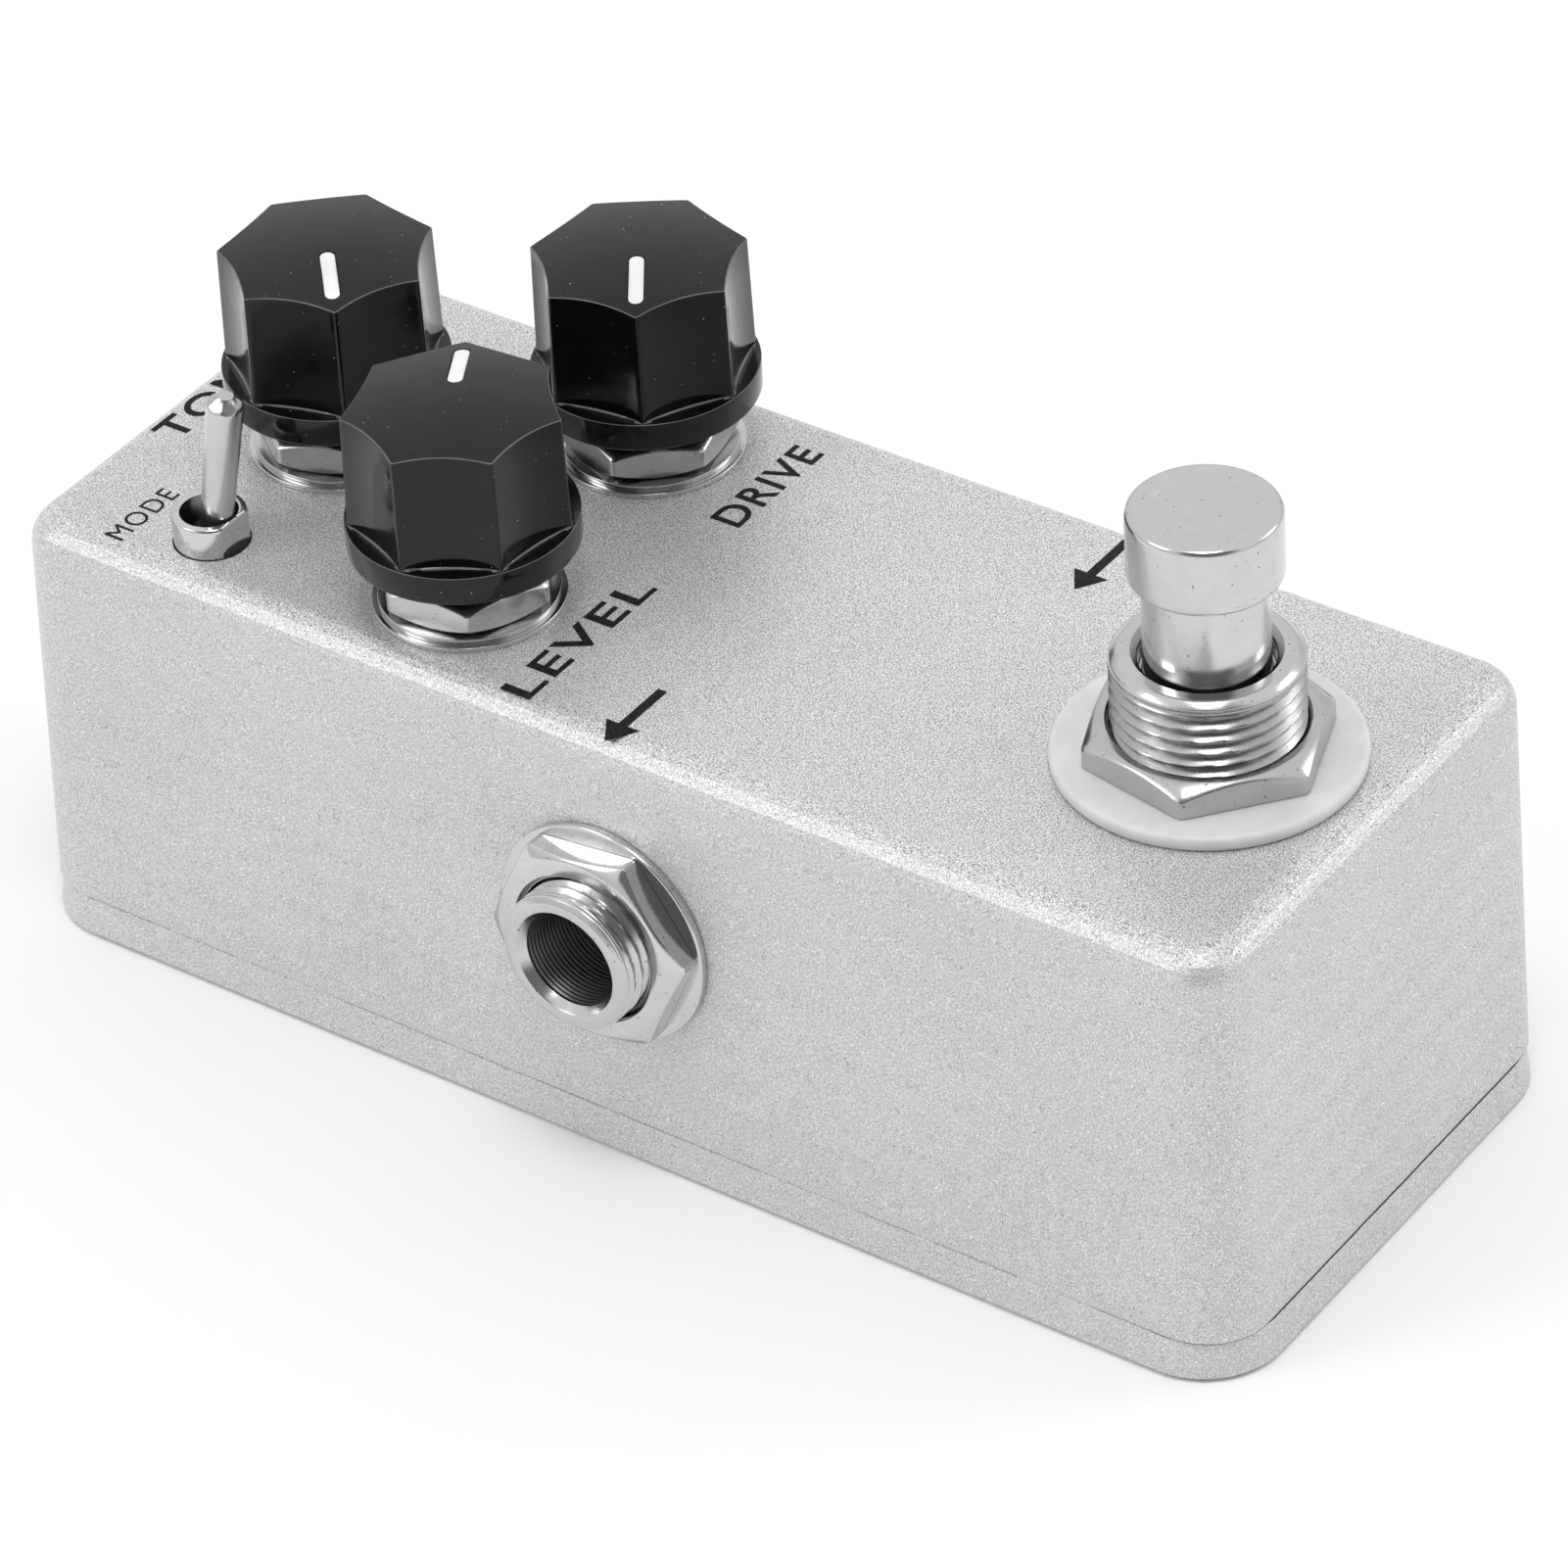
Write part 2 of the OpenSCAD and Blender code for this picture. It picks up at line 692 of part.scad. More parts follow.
module footswitch_inner_nut() {
    color("gainsboro") at_foot(roof_z - foot_lock_t - foot_inner_nut_t)
        hex_nut(foot_nut_af, foot_inner_nut_t, foot_thread_r + fit_gap, 0);
}

// Folded steel frame: top plate with the bushing's hole and a flange down each side.
module footswitch_frame() {
    flange_end = 14;
    tab_w = 12;
    tab_h = 4;
    inside_x = foot_size - 2 * foot_frame_t;
    under_top = foot_frame_top - foot_frame_t;
    color("silver") at_foot() difference() {
        translate([-foot_size / 2, -foot_size / 2, flange_end])
            cube([foot_size, foot_size, foot_frame_top - flange_end]);
        translate([-inside_x / 2, -foot_size, flange_end - 1])
            cube([inside_x, 2 * foot_size, under_top - flange_end + 1]);
        for (y = [-foot_size, tab_w / 2])
            translate([-foot_size, y, flange_end - 1])
                cube([2 * foot_size, foot_size - tab_w / 2, tab_h + 1]);
        translate([0, 0, under_top - 1]) cylinder(r = foot_chamber_r, h = foot_frame_t + 2);
    }
}

module footswitch_case() {
    case_top = foot_frame_top - foot_frame_t;
    case_x = foot_size - 2 * foot_frame_t;
    plunger_gap = 0.3;
    end_gap = 0.6;
    color("royalblue") at_foot() difference() {
        translate([-case_x / 2, -foot_size / 2, foot_case_bottom])
            cube([case_x, foot_size, case_top - foot_case_bottom]);
        translate([0, 0, foot_well_z]) cylinder(r = foot_well_r, h = case_top);
        translate([0, 0, foot_plunger_end - foot_travel - end_gap])
            cylinder(r = foot_plunger_r + plunger_gap, h = 10);
    }
}

module foot_lug_grid() {
    for (i = [-1 : 1], j = [-1 : 1])
        translate([i * foot_lug_pitch_x, j * foot_lug_pitch_y, 0]) children();
}

module footswitch_lugs() {
    color("gainsboro") at_foot() foot_lug_grid()
        translate([-foot_lug_x / 2, -foot_lug_y / 2, foot_lug_end])
            cube([foot_lug_x, foot_lug_y, foot_case_bottom - foot_lug_end]);
}

// ================= jack sockets =================
module jack_barrel() {
    edge = 0.6;
    inner_edge = 0.3;
    back = jack_plate_back - jack_flange_t;
    color("gainsboro") rotate_extrude()
        polygon([
            [plug_r, back], [jack_flange_r, back], [jack_flange_r, jack_plate_back],
            [jack_thread_r, jack_plate_back], [jack_thread_r, jack_mouth - edge],
            [jack_thread_r - edge, jack_mouth], [plug_r + inner_edge, jack_mouth],
            [plug_r, jack_mouth - inner_edge]
        ]);
}

// Bent bracket: a front plate behind the wall, an arm below the plug and a ground lug.
module jack_bracket() {
    lug_x = 8;
    lug_z0 = -12.5;
    lug_l = 2.4;
    color("silver") difference() {
        union() {
            translate([-jack_plate_x, jack_plate_low, jack_plate_back])
                cube([2 * jack_plate_x, jack_plate_high - jack_plate_low, jack_plate_t]);
            translate([-jack_arm_x, jack_plate_low, jack_arm_end])
                cube([2 * jack_arm_x, jack_plate_t, jack_plate_back - jack_arm_end]);
            translate([0, jack_plate_low, lug_z0]) cube([lug_x, jack_plate_t, lug_l]);
        }
        translate([0, 0, jack_plate_back - 1]) cylinder(r = jack_thread_r + fit_gap, h = 4);
        stack_hole();
    }
}

module stack_hole() {
    translate([0, -20, rivet_z]) rotate([-90, 0, 0]) cylinder(r = rivet_r, h = 40);
}

module jack_insulators() {
    color("saddlebrown") difference() {
        for (low = [arm_top, contact_low + contact_t])
            translate([-jack_stack_x, low, jack_stack_z0])
                cube([2 * jack_stack_x, insulator_t, jack_stack_z1 - jack_stack_z0]);
        stack_hole();
    }
}

// Leaf contact: flat in the stack, then rising to a bend that meets the plug's tip.
module jack_tip_contact() {
    bend = [[-14.5, 0], [-23.5, 4.6], [-26.5, 2.6]];
    lug_x = 7.5;
    lug_l = 1.6;
    color("gainsboro") difference() {
        union() {
            translate([contact_x, contact_low, 0]) rotate([0, -90, 0])
                linear_extrude(height = 2 * contact_x)
                    polygon([
                        [jack_stack_z1, 0], [jack_stack_z1, contact_t],
                        [bend[0][0], contact_t], [bend[1][0], bend[1][1] + contact_t],
                        [bend[2][0], bend[2][1] + contact_t], [bend[2][0], bend[2][1]],
                        [bend[1][0], bend[1][1]], [bend[0][0], 0]
                    ]);
            translate([0, contact_low, bend[0][0] - lug_l + 1]) cube([lug_x, contact_t, lug_l]);
        }
        stack_hole();
    }
}

module jack_rivet() {
    head_t = 0.6;
    translate([0, jack_plate_low, rivet_z]) rotate([-90, 0, 0]) {
        cylinder(r = rivet_r, h = stack_top - jack_plate_low);
        translate([0, 0, -head_t]) cylinder(r = rivet_head_r, h = head_t);
        translate([0, 0, stack_top - jack_plate_low]) cylinder(r = rivet_head_r, h = head_t);
    }
}

module out_jack_barrel() { on_out_jack() jack_barrel(); }
module out_jack_bracket() { on_out_jack() jack_bracket(); }
module out_jack_insulators() { on_out_jack() jack_insulators(); }
module out_jack_tip_contact() { on_out_jack() jack_tip_contact(); }
module in_jack_barrel() { on_in_jack() jack_barrel(); }
module in_jack_bracket() { on_in_jack() jack_bracket(); }
module in_jack_insulators() { on_in_jack() jack_insulators(); }
module in_jack_tip_contact() { on_in_jack() jack_tip_contact(); }

module jack_rivets() {
    color("goldenrod") {
        on_out_jack() jack_rivet();
        on_in_jack() jack_rivet();
    }
}

module jack_washers() {
    color("silver") {
        on_out_jack() ring(jack_washer_r, jack_thread_r + fit_gap, 0, jack_washer_t);
        on_in_jack() ring(jack_washer_r, jack_thread_r + fit_gap, 0, jack_washer_t);
    }
}

module jack_nuts() {
    color("gainsboro") {
        on_out_jack() translate([0, 0, jack_washer_t])
            hex_nut(jack_nut_af, jack_nut_t, jack_thread_r + fit_gap, out_jack_nut_turn);
        on_in_jack() translate([0, 0, jack_washer_t])
            hex_nut(jack_nut_af, jack_nut_t, jack_thread_r + fit_gap, in_jack_nut_turn);
    }
}

// ================= power socket =================
module power_jack_body() {
    color([0.1, 0.1, 0.1]) on_power_jack() difference() {
        union() {
            translate([0, 0, power_body_end])
                cylinder(r = power_thread_r, h = power_flange_t - power_body_end);
            cylinder(r = power_flange_r, h = power_flange_t);
        }
        translate([0, 0, power_bore_end]) cylinder(r = power_bore_r, h = 20);
        translate([0, 0, power_body_end - 1]) cylinder(r = power_pin_root_r, h = 20);
    }
}

module power_jack_pin() {
    tip = 0.4;
    color("gainsboro") on_power_jack() {
        translate([0, 0, power_body_end])
            cylinder(r = power_pin_root_r, h = power_bore_end - power_body_end);
        translate([0, 0, power_bore_end]) cylinder(r = power_pin_r, h = power_pin_top - power_bore_end);
        translate([0, 0, power_pin_top])
            cylinder(r1 = power_pin_r, r2 = power_pin_r - tip, h = tip);
    }
}

module power_jack_nut() {
    color([0.1, 0.1, 0.1]) on_power_jack() translate([0, 0, -wall_t - power_nut_t])
        hex_nut(power_nut_af, power_nut_t, power_thread_r + fit_gap, 0);
}

module power_jack_lugs() {
    color("gainsboro") on_power_jack() for (sx = [-1, 1])
        translate([sx * power_lug_x - power_lug_w / 2, -power_lug_t / 2, power_lug_end])
            cube([power_lug_w, power_lug_t, power_body_end - power_lug_end]);
}

// ================= boards, components and wires =================
module main_board() {
    color("darkgreen") difference() {
        translate([-board_x, board_y0, board_under])
            cube([2 * board_x, board_y1 - board_y0, board_t]);
        for (p = pots)
            translate([p[0], p[1], board_under - 1]) rotate([0, 0, p[2]])
                for (k = [-1 : 1])
                    translate([k * pot_pin_pitch, pot_pin_reach, 0])
                        cylinder(r = pin_hole_r, h = board_t + 2);
        for (k = [-1 : 1])
            translate([toggle_x, toggle_y + k * toggle_pin_pitch, board_under - 1])
                cylinder(r = pin_hole_r, h = board_t + 2);
    }
}

// Eight-legged chips hang under the board with their length along Y.
module board_chips() {
    chip = [6.4, 9.4, 3.2];
    chip_x = 4;
    chip_y = 15.9;
    leg_pitch = 2.54;
    leg = 0.5;
    leg_h = 2.5;
    standoff = 0.6;
    for (x = [-chip_x, chip_x]) {
        color([0.12, 0.12, 0.12])
            translate([x - chip[0] / 2, chip_y - chip[1] / 2, board_under - standoff - chip[2]])
                cube(chip);
        color("gainsboro") for (sx = [-1, 1], k = [0 : 3])
            translate([x + sx * (chip[0] / 2 + leg / 2) - leg / 2,
                    chip_y + (k - 1.5) * leg_pitch - leg / 2, board_under - leg_h])
                cube([leg, leg, leg_h]);
    }
}

module board_electrolytics() {
    can_r = 2.5;
    can_h = 7;
    color("midnightblue")
        for (sx = [-1, 1], p = [[13, 11.4], [13, 17.4], [6, 26]])
            translate([sx * p[0], p[1], board_under - can_h]) cylinder(r = can_r, h = can_h);
}

module board_film_capacitors() {
    size = [2.5, 6.4, 5.5];
    near_y = 22.8;
    color("crimson") for (x = [-13.6, -10.2, 10.2, 13.6])
        translate([x - size[0] / 2, near_y, board_under - size[2]]) cube(size);
}

// Axial resistors: body and two bent leads, each lead ending on the board.
module board_resistors() {
    body_r = 0.95;
    body_l = 3.6;
    lead_r = 0.28;
    span = 5.6;
    drop = 1.8;
    color("tan") for (p = [[-9.2, 12.4], [9.2, 12.4], [-9.4, 31], [9.6, 31], [11.8, 31], [14, 31]])
        translate([p[0], p[1], board_under - drop]) {
            rotate([-90, 0, 0]) translate([0, 0, (span - body_l) / 2]) cylinder(r = body_r, h = body_l);
            rotate([-90, 0, 0]) cylinder(r = lead_r, h = span);
            for (end = [0, span]) translate([0, end, 0]) {
                sphere(r = lead_r);
                cylinder(r = lead_r, h = drop);
            }
        }
}

module switch_board() {
    slot_gap = 0.1;
    color("darkgreen") at_foot() difference() {
        translate([-switch_board_size / 2, -switch_board_size / 2, switch_board_z])
            cube([switch_board_size, switch_board_size, board_t]);
        foot_lug_grid()
            translate([-foot_lug_x / 2 - slot_gap, -foot_lug_y / 2 - slot_gap, switch_board_z - 1])
                cube([foot_lug_x + 2 * slot_gap, foot_lug_y + 2 * slot_gap, board_t + 2]);
    }
}

// Faces of a closed tube made of rings of points, one ring after another.
function tube_faces(rings, sides) = concat(
    [[for (k = [0 : sides - 1]) k]],
    [for (i = [0 : rings - 2], k = [0 : sides - 1])
        let (n = (k + 1) % sides)
        [i * sides + n, i * sides + k, (i + 1) * sides + k, (i + 1) * sides + n]],
    [[for (k = [sides - 1 : -1 : 0]) (rings - 1) * sides + k]]
);

function unit(v) = v / norm(v);

// Smooth curve through the route: Catmull-Rom, with the end points doubled.
function curve_point(a, b, c, d, t) =
    0.5 * (2 * b + (c - a) * t + (2 * a - 5 * b + 4 * c - d) * t * t
        + (3 * b - a - 3 * c + d) * t * t * t);

function smooth_route(route) =
    let (last = len(route) - 1)
    concat(
        [for (i = [0 : last - 1], s = [0 : wire_steps - 1])
            curve_point(route[max(i - 1, 0)], route[i], route[i + 1],
                route[min(i + 2, last)], s / wire_steps)],
        [route[last]]
    );

// Wire whose two ends are square to the Z axis, so that they meet a flat pad.
module wire(route) {
    path = smooth_route(route);
    last = len(path) - 1;
    points = [for (i = [0 : last])
        let (
            ahead = i == 0 || i == last ? [0, 0, sign(path[max(i, 1)][2] - path[max(i, 1) - 1][2])]
                : unit(path[i + 1] - path[i - 1]),
            side = unit(cross(ahead, wire_side(route))),
            up = cross(side, ahead)
        )
        for (k = [0 : wire_sides - 1])
            path[i] + wire_r * (cos(360 * k / wire_sides) * side + sin(360 * k / wire_sides) * up)];
    polyhedron(points = points, faces = tube_faces(last + 1, wire_sides), convexity = 10);
}

// A direction square to the plane that the route mostly keeps to.
function wire_side(route) =
    let (run = route[len(route) - 1] - route[0])
    abs(run[0]) > abs(run[1]) ? [0, 1, 0] : [1, 0, 0];

module ribbon_wires() {
    color("orange") for (x = ribbon_x)
        wire([for (p = ribbon_route) [x, p[0], p[1]]]);
}

module jack_wires() {
    color("dodgerblue") for (route = [ground_link, out_tip_route, in_tip_route]) wire(route);
}

module power_wires() {
    color("red") for (sx = [-1, 1])
        wire([for (p = power_route) [sx * p[0], p[1], p[2]]]);
}

enclosure();
base_plate();
base_screws();
pot_case(0);  // output_pot_case
pot_case(1);  // gain_pot_case
pot_case(2);  // treble_pot_case
pot_bushing(0);  // output_pot_bushing
pot_bushing(1);  // gain_pot_bushing
pot_bushing(2);  // treble_pot_bushing
pot_shaft(0);  // output_pot_shaft
pot_shaft(1);  // gain_pot_shaft
pot_shaft(2);  // treble_pot_shaft
knob(0, output_angle);  // output_knob
knob(1, gain_angle);  // gain_knob
knob(2, treble_angle);  // treble_knob
knob_pointer(0, output_angle);  // output_knob_pointer
knob_pointer(1, gain_angle);  // gain_knob_pointer
knob_pointer(2, treble_angle);  // treble_knob_pointer
pot_pins();
pot_washers();
pot_nuts();
toggle_case();
toggle_bushing();
toggle_lever();
toggle_terminals();
footswitch_button();
footswitch_plunger();
footswitch_spring();
footswitch_bushing();
footswitch_nut();
footswitch_washer();
footswitch_inner_nut();
footswitch_lock_washer();
footswitch_frame();
footswitch_case();
footswitch_lugs();
out_jack_barrel();
out_jack_bracket();
out_jack_insulators();
out_jack_tip_contact();
in_jack_barrel();
in_jack_bracket();
in_jack_insulators();
in_jack_tip_contact();
jack_rivets();
jack_washers();
jack_nuts();
power_jack_body();
power_jack_pin();
power_jack_nut();
power_jack_lugs();
main_board();
board_chips();
board_electrolytics();
board_film_capacitors();
board_resistors();
switch_board();
ribbon_wires();
jack_wires();
power_wires();
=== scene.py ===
import json
import math

import bmesh
import bpy
from mathutils import Matrix, Vector


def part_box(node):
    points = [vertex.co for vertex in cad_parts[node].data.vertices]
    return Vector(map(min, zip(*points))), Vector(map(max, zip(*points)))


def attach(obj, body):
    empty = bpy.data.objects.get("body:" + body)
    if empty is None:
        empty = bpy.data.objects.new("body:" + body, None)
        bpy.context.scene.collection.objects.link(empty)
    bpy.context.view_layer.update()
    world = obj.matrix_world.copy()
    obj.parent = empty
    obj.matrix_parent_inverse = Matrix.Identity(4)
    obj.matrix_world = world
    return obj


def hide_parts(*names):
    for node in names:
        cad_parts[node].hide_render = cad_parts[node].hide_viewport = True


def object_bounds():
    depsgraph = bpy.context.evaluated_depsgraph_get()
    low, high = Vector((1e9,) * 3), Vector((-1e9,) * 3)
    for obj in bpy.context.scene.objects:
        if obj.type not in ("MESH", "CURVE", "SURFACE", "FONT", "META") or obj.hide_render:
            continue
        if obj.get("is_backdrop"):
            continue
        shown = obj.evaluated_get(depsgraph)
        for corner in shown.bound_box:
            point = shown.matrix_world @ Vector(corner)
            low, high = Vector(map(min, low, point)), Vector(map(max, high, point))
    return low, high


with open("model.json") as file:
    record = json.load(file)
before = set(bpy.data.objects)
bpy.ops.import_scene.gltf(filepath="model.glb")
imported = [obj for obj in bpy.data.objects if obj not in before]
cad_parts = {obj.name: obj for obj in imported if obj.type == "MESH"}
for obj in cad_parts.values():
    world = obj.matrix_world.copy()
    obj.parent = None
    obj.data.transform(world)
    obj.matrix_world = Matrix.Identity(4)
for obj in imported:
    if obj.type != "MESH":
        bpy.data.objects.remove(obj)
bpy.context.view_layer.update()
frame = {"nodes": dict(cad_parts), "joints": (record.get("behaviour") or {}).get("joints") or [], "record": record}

# Sizes and places are in millimetres, and MM turns them into the scene's metres.
# Only the floor, the lights and the camera's clipping are given in metres.
MM = 0.001
CASE = "case"
record = frame["record"]
mounts = {m["name"]: m for m in record["mounts"]}
joints = {j["name"]: j for j in frame["joints"]}


def node_box(node):
    """Lowest and highest corner of a CAD node, in millimetres."""
    lo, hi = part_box(node)
    return lo / MM, hi / MM


SEAM_Z, PANEL_Z = (corner.z for corner in node_box("enclosure"))
EDGE_ANGLE = 32         # faces that meet at more than this many degrees share a sharp edge
CAD_EDGE_ANGLE = 24
THREAD_EDGE_ANGLE = 20
CAP_EDGE_ANGLE = 50
AXIS_R = 0.02           # a solid turned shape ends in a disc this small at its axis


def into_scene(name, data):
    """New object in the scene that holds a mesh, a text, a light or a camera."""
    piece = bpy.data.objects.new(name, data)
    bpy.context.scene.collection.objects.link(piece)
    return piece


def smooth(mesh, edge_angle):
    mesh.shade_smooth()
    mesh.set_sharp_from_angle(angle=math.radians(edge_angle))


def even_normals(piece):
    """Shades large flat faces flat, right up to their rounded edges."""
    piece.modifiers.new("even_normals", "WEIGHTED_NORMAL").keep_sharp = True


def evaluated_mesh(piece):
    """The mesh that a piece with modifiers, or a text, works out to."""
    bpy.context.view_layer.update()
    graph = bpy.context.evaluated_depsgraph_get()
    return bpy.data.meshes.new_from_object(piece.evaluated_get(graph))


# ---------------------------------------------------------------- shapes
def arc(centre, radius, start, end, steps):
    """Points on an arc in a half profile. Angles are in degrees."""
    points = []
    for i in range(steps + 1):
        a = math.radians(start + (end - start) * i / steps)
        points.append((centre[0] + radius * math.cos(a), centre[1] + radius * math.sin(a)))
    return points


EASE_SHARE = 0.48       # the rounding of a corner takes at most this share of a side


def eased(corners, closed=True, steps=4):
    """Half profile whose corners are rounded. A corner is (r, z) or (r, z, rounding)."""
    points = []
    count = len(corners)
    for i, corner in enumerate(corners):
        here = Vector(corner[:2])
        size = corner[2] if len(corner) > 2 else 0
        if not size or (not closed and i in (0, count - 1)):
            points.append(tuple(here))
            continue
        before = Vector(corners[i - 1][:2]) - here
        after = Vector(corners[(i + 1) % count][:2]) - here
        reach = min(size, before.length * EASE_SHARE, after.length * EASE_SHARE)
        a = here + before.normalized() * reach
        b = here + after.normalized() * reach
        for k in range(steps + 1):
            t = k / steps
            points.append(tuple(a * (1 - t) ** 2 + here * 2 * t * (1 - t) + b * t * t))
    return points


def even_angles(count):
    return [2 * math.pi * i / count for i in range(count)]


def corner_angles(sides, start, samples):
    """Angles round a shape with equal sides, closest together at its corners."""
    half = math.pi / sides
    angles = []
    for side in range(sides):
        middle = start + half * (2 * side + 1)
        angles += [middle + half * math.sin(math.pi * (i / samples - 0.5)) for i in range(samples)]
    return angles


def loft(rings, closed=True):
    """Quads between rings of points. A closed loft joins its last ring to its first."""
    shape = bmesh.new()
    rows = [[shape.verts.new(p) for p in ring] for ring in rings]
    count = len(rows[0])
    pairs = list(zip(rows, rows[1:]))
    if closed:
        pairs.append((rows[-1], rows[0]))
    for low, high in pairs:
        for i in range(count):
            j = (i + 1) % count
            shape.faces.new((low[i], low[j], high[j], high[i]))
    if not closed:
        shape.faces.new(rows[0][::-1])
        shape.faces.new(rows[-1])
    return shape


def turned(profile, segments=96, closed=True):
    """Loft of a half profile turned round local Z."""
    angles = even_angles(segments)
    rings = [[(r * math.cos(a), r * math.sin(a), z) for a in angles] for r, z in profile]
    return loft(rings, closed)


def varied(rows, angles, closed=True):
    """Loft of rows of (radius function of angle, height function of angle)."""
    def point(radius, height, a):
        return radius(a) * math.cos(a), radius(a) * math.sin(a), height(a)

    return loft([[point(radius, height, a) for a in angles] for radius, height in rows], closed)


def constant(value):
    return lambda _: value


def plain_rows(profile):
    """Rows for varied() from a half profile that is the same at every angle."""
    return [(constant(r), constant(z)) for r, z in profile]


def finished(shape, name, place=None, edge_angle=EDGE_ANGLE):
    """Turns a bmesh in millimetres into an object in metres, smooth except at its edges."""
    bmesh.ops.remove_doubles(shape, verts=shape.verts, dist=1e-5)
    bmesh.ops.recalc_face_normals(shape, faces=shape.faces)
    mesh = bpy.data.meshes.new(name)
    shape.to_mesh(mesh)
    shape.free()
    mesh.transform(Matrix.Scale(MM, 4) @ (place or Matrix.Identity(4)))
    smooth(mesh, edge_angle)
    return into_scene(name, mesh)


def joined(*shapes):
    """One bmesh that holds several, each moved by the matrix given with it."""
    whole = bmesh.new()
    for shape, place in shapes:
        bmesh.ops.transform(shape, matrix=place, verts=shape.verts)
        part = bpy.data.meshes.new("part")
        shape.to_mesh(part)
        shape.free()
        whole.from_mesh(part)
        bpy.data.meshes.remove(part)
    return whole


def dress(piece, material, body, slot, *nodes):
    """Gives a piece its look and body, and hides the CAD nodes that it replaces. Its slot is not used."""
    piece.data.materials.clear()
    piece.data.materials.append(material)
    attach(piece, body)
    if nodes:
        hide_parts(*nodes)


def look_index(piece, material):
    """Index of a material on a piece, which takes it on if it's new there."""
    looks = piece.data.materials
    if material.name not in looks:
        looks.append(material)
    return looks.find(material.name)


def faces_about(piece, place):
    """Each face with its middle's distance from a place's Z axis and height along it."""
    inverse = (Matrix.Scale(MM, 4) @ place).inverted()
    for face in piece.data.polygons:
        middle = inverse @ face.center
        yield face, math.hypot(middle.x, middle.y), middle.z


def upright(x, y, z):
    return Matrix.Translation((x, y, z))


def wall_place(mount_name, back):
    """Place whose local Z is a mount's axis, `back` behind the outer end of its bore."""
    mount = mounts[mount_name]
    axis = Vector(mount["axis"])
    outer_end = Vector(mount["pos_m"]) / MM + axis * mount["dims"]["length_mm"] / 2
    up = Vector((0, 0, 1))
    side = up.cross(axis).normalized()
    turn = Matrix((side, axis.cross(side), axis)).transposed().to_4x4()
    return Matrix.Translation(outer_end - axis * back) @ turn


def hexagon_turn(node, place, reach):
    """Direction of a hexagon's corner about a place's Z axis, read from the CAD node."""
    inverse = place.inverted()
    best, angle = 0, 0
    for vertex in frame["nodes"][node].data.vertices:
        p = inverse @ (vertex.co / MM)
        r = math.hypot(p.x, p.y)
        if best < r < reach and abs(p.z) < reach:
            best, angle = r, math.atan2(p.y, p.x)
    return angle


# ---------------------------------------------------------------- materials
# Shape of the painted shadow along the seam between the housing and the base plate.
SEAM_HALF_WIDTH = 0.05
SEAM_WANDER = 0.12              # how far the joint's line strays up and down
SEAM_WHOLE_Y = (-43.0, -40.0)   # the line is unbroken up to the first and broken from the second
MIX_INPUTS, MIX_RESULT = (0, 6, 7), 2   # a Mix node's factor, A and B, and result, in colour


def rgba(shade):
    """A grey or an (r, g, b) colour as an opaque colour."""
    return (*shade, 1) if isinstance(shade, tuple) else (shade, shade, shade, 1)


class Tree:
    """A node tree with a short way to add ramps, mixes and sums."""

    def __init__(self, tree):
        self.tree = tree

    def add(self, kind):
        return self.tree.nodes.new(kind)

    def link(self, a, b):
        self.tree.links.new(a, b)

    def split(self, vector):
        """The X, Y and Z outputs of a vector."""
        node = self.add("ShaderNodeSeparateXYZ")
        self.link(vector, node.inputs[0])
        return node.outputs

    def multiply_add(self, value, factor, addend):
        node = self.add("ShaderNodeMath")
        node.operation = "MULTIPLY_ADD"
        self.link(value, node.inputs[0])
        node.inputs[1].default_value = factor
        self.link(addend, node.inputs[2])
        return node.outputs[0]

    def ramp(self, value, *stops):
        """Stops are (position, grey) or (position, (r, g, b))."""
        node = self.add("ShaderNodeValToRGB")
        elements = node.color_ramp.elements
        while len(elements) < len(stops):
            elements.new(0.5)
        for element, (position, shade) in zip(elements, stops):
            element.position = position
            element.color = rgba(shade)
        self.link(value, node.inputs["Fac"])
        return node.outputs["Color"]

    def mix(self, factor, a, b, blend="MIX"):
        """The three inputs are outputs of other nodes, numbers or (r, g, b) colours."""
        node = self.add("ShaderNodeMix")
        node.data_type = "RGBA"
        node.blend_type = blend
        for value, index in zip((factor, a, b), MIX_INPUTS):
            socket = node.inputs[index]
            if isinstance(value, bpy.types.NodeSocket):
                self.link(value, socket)
            else:
                socket.default_value = rgba(value) if socket.type == "RGBA" else value
        return node.outputs[MIX_RESULT]


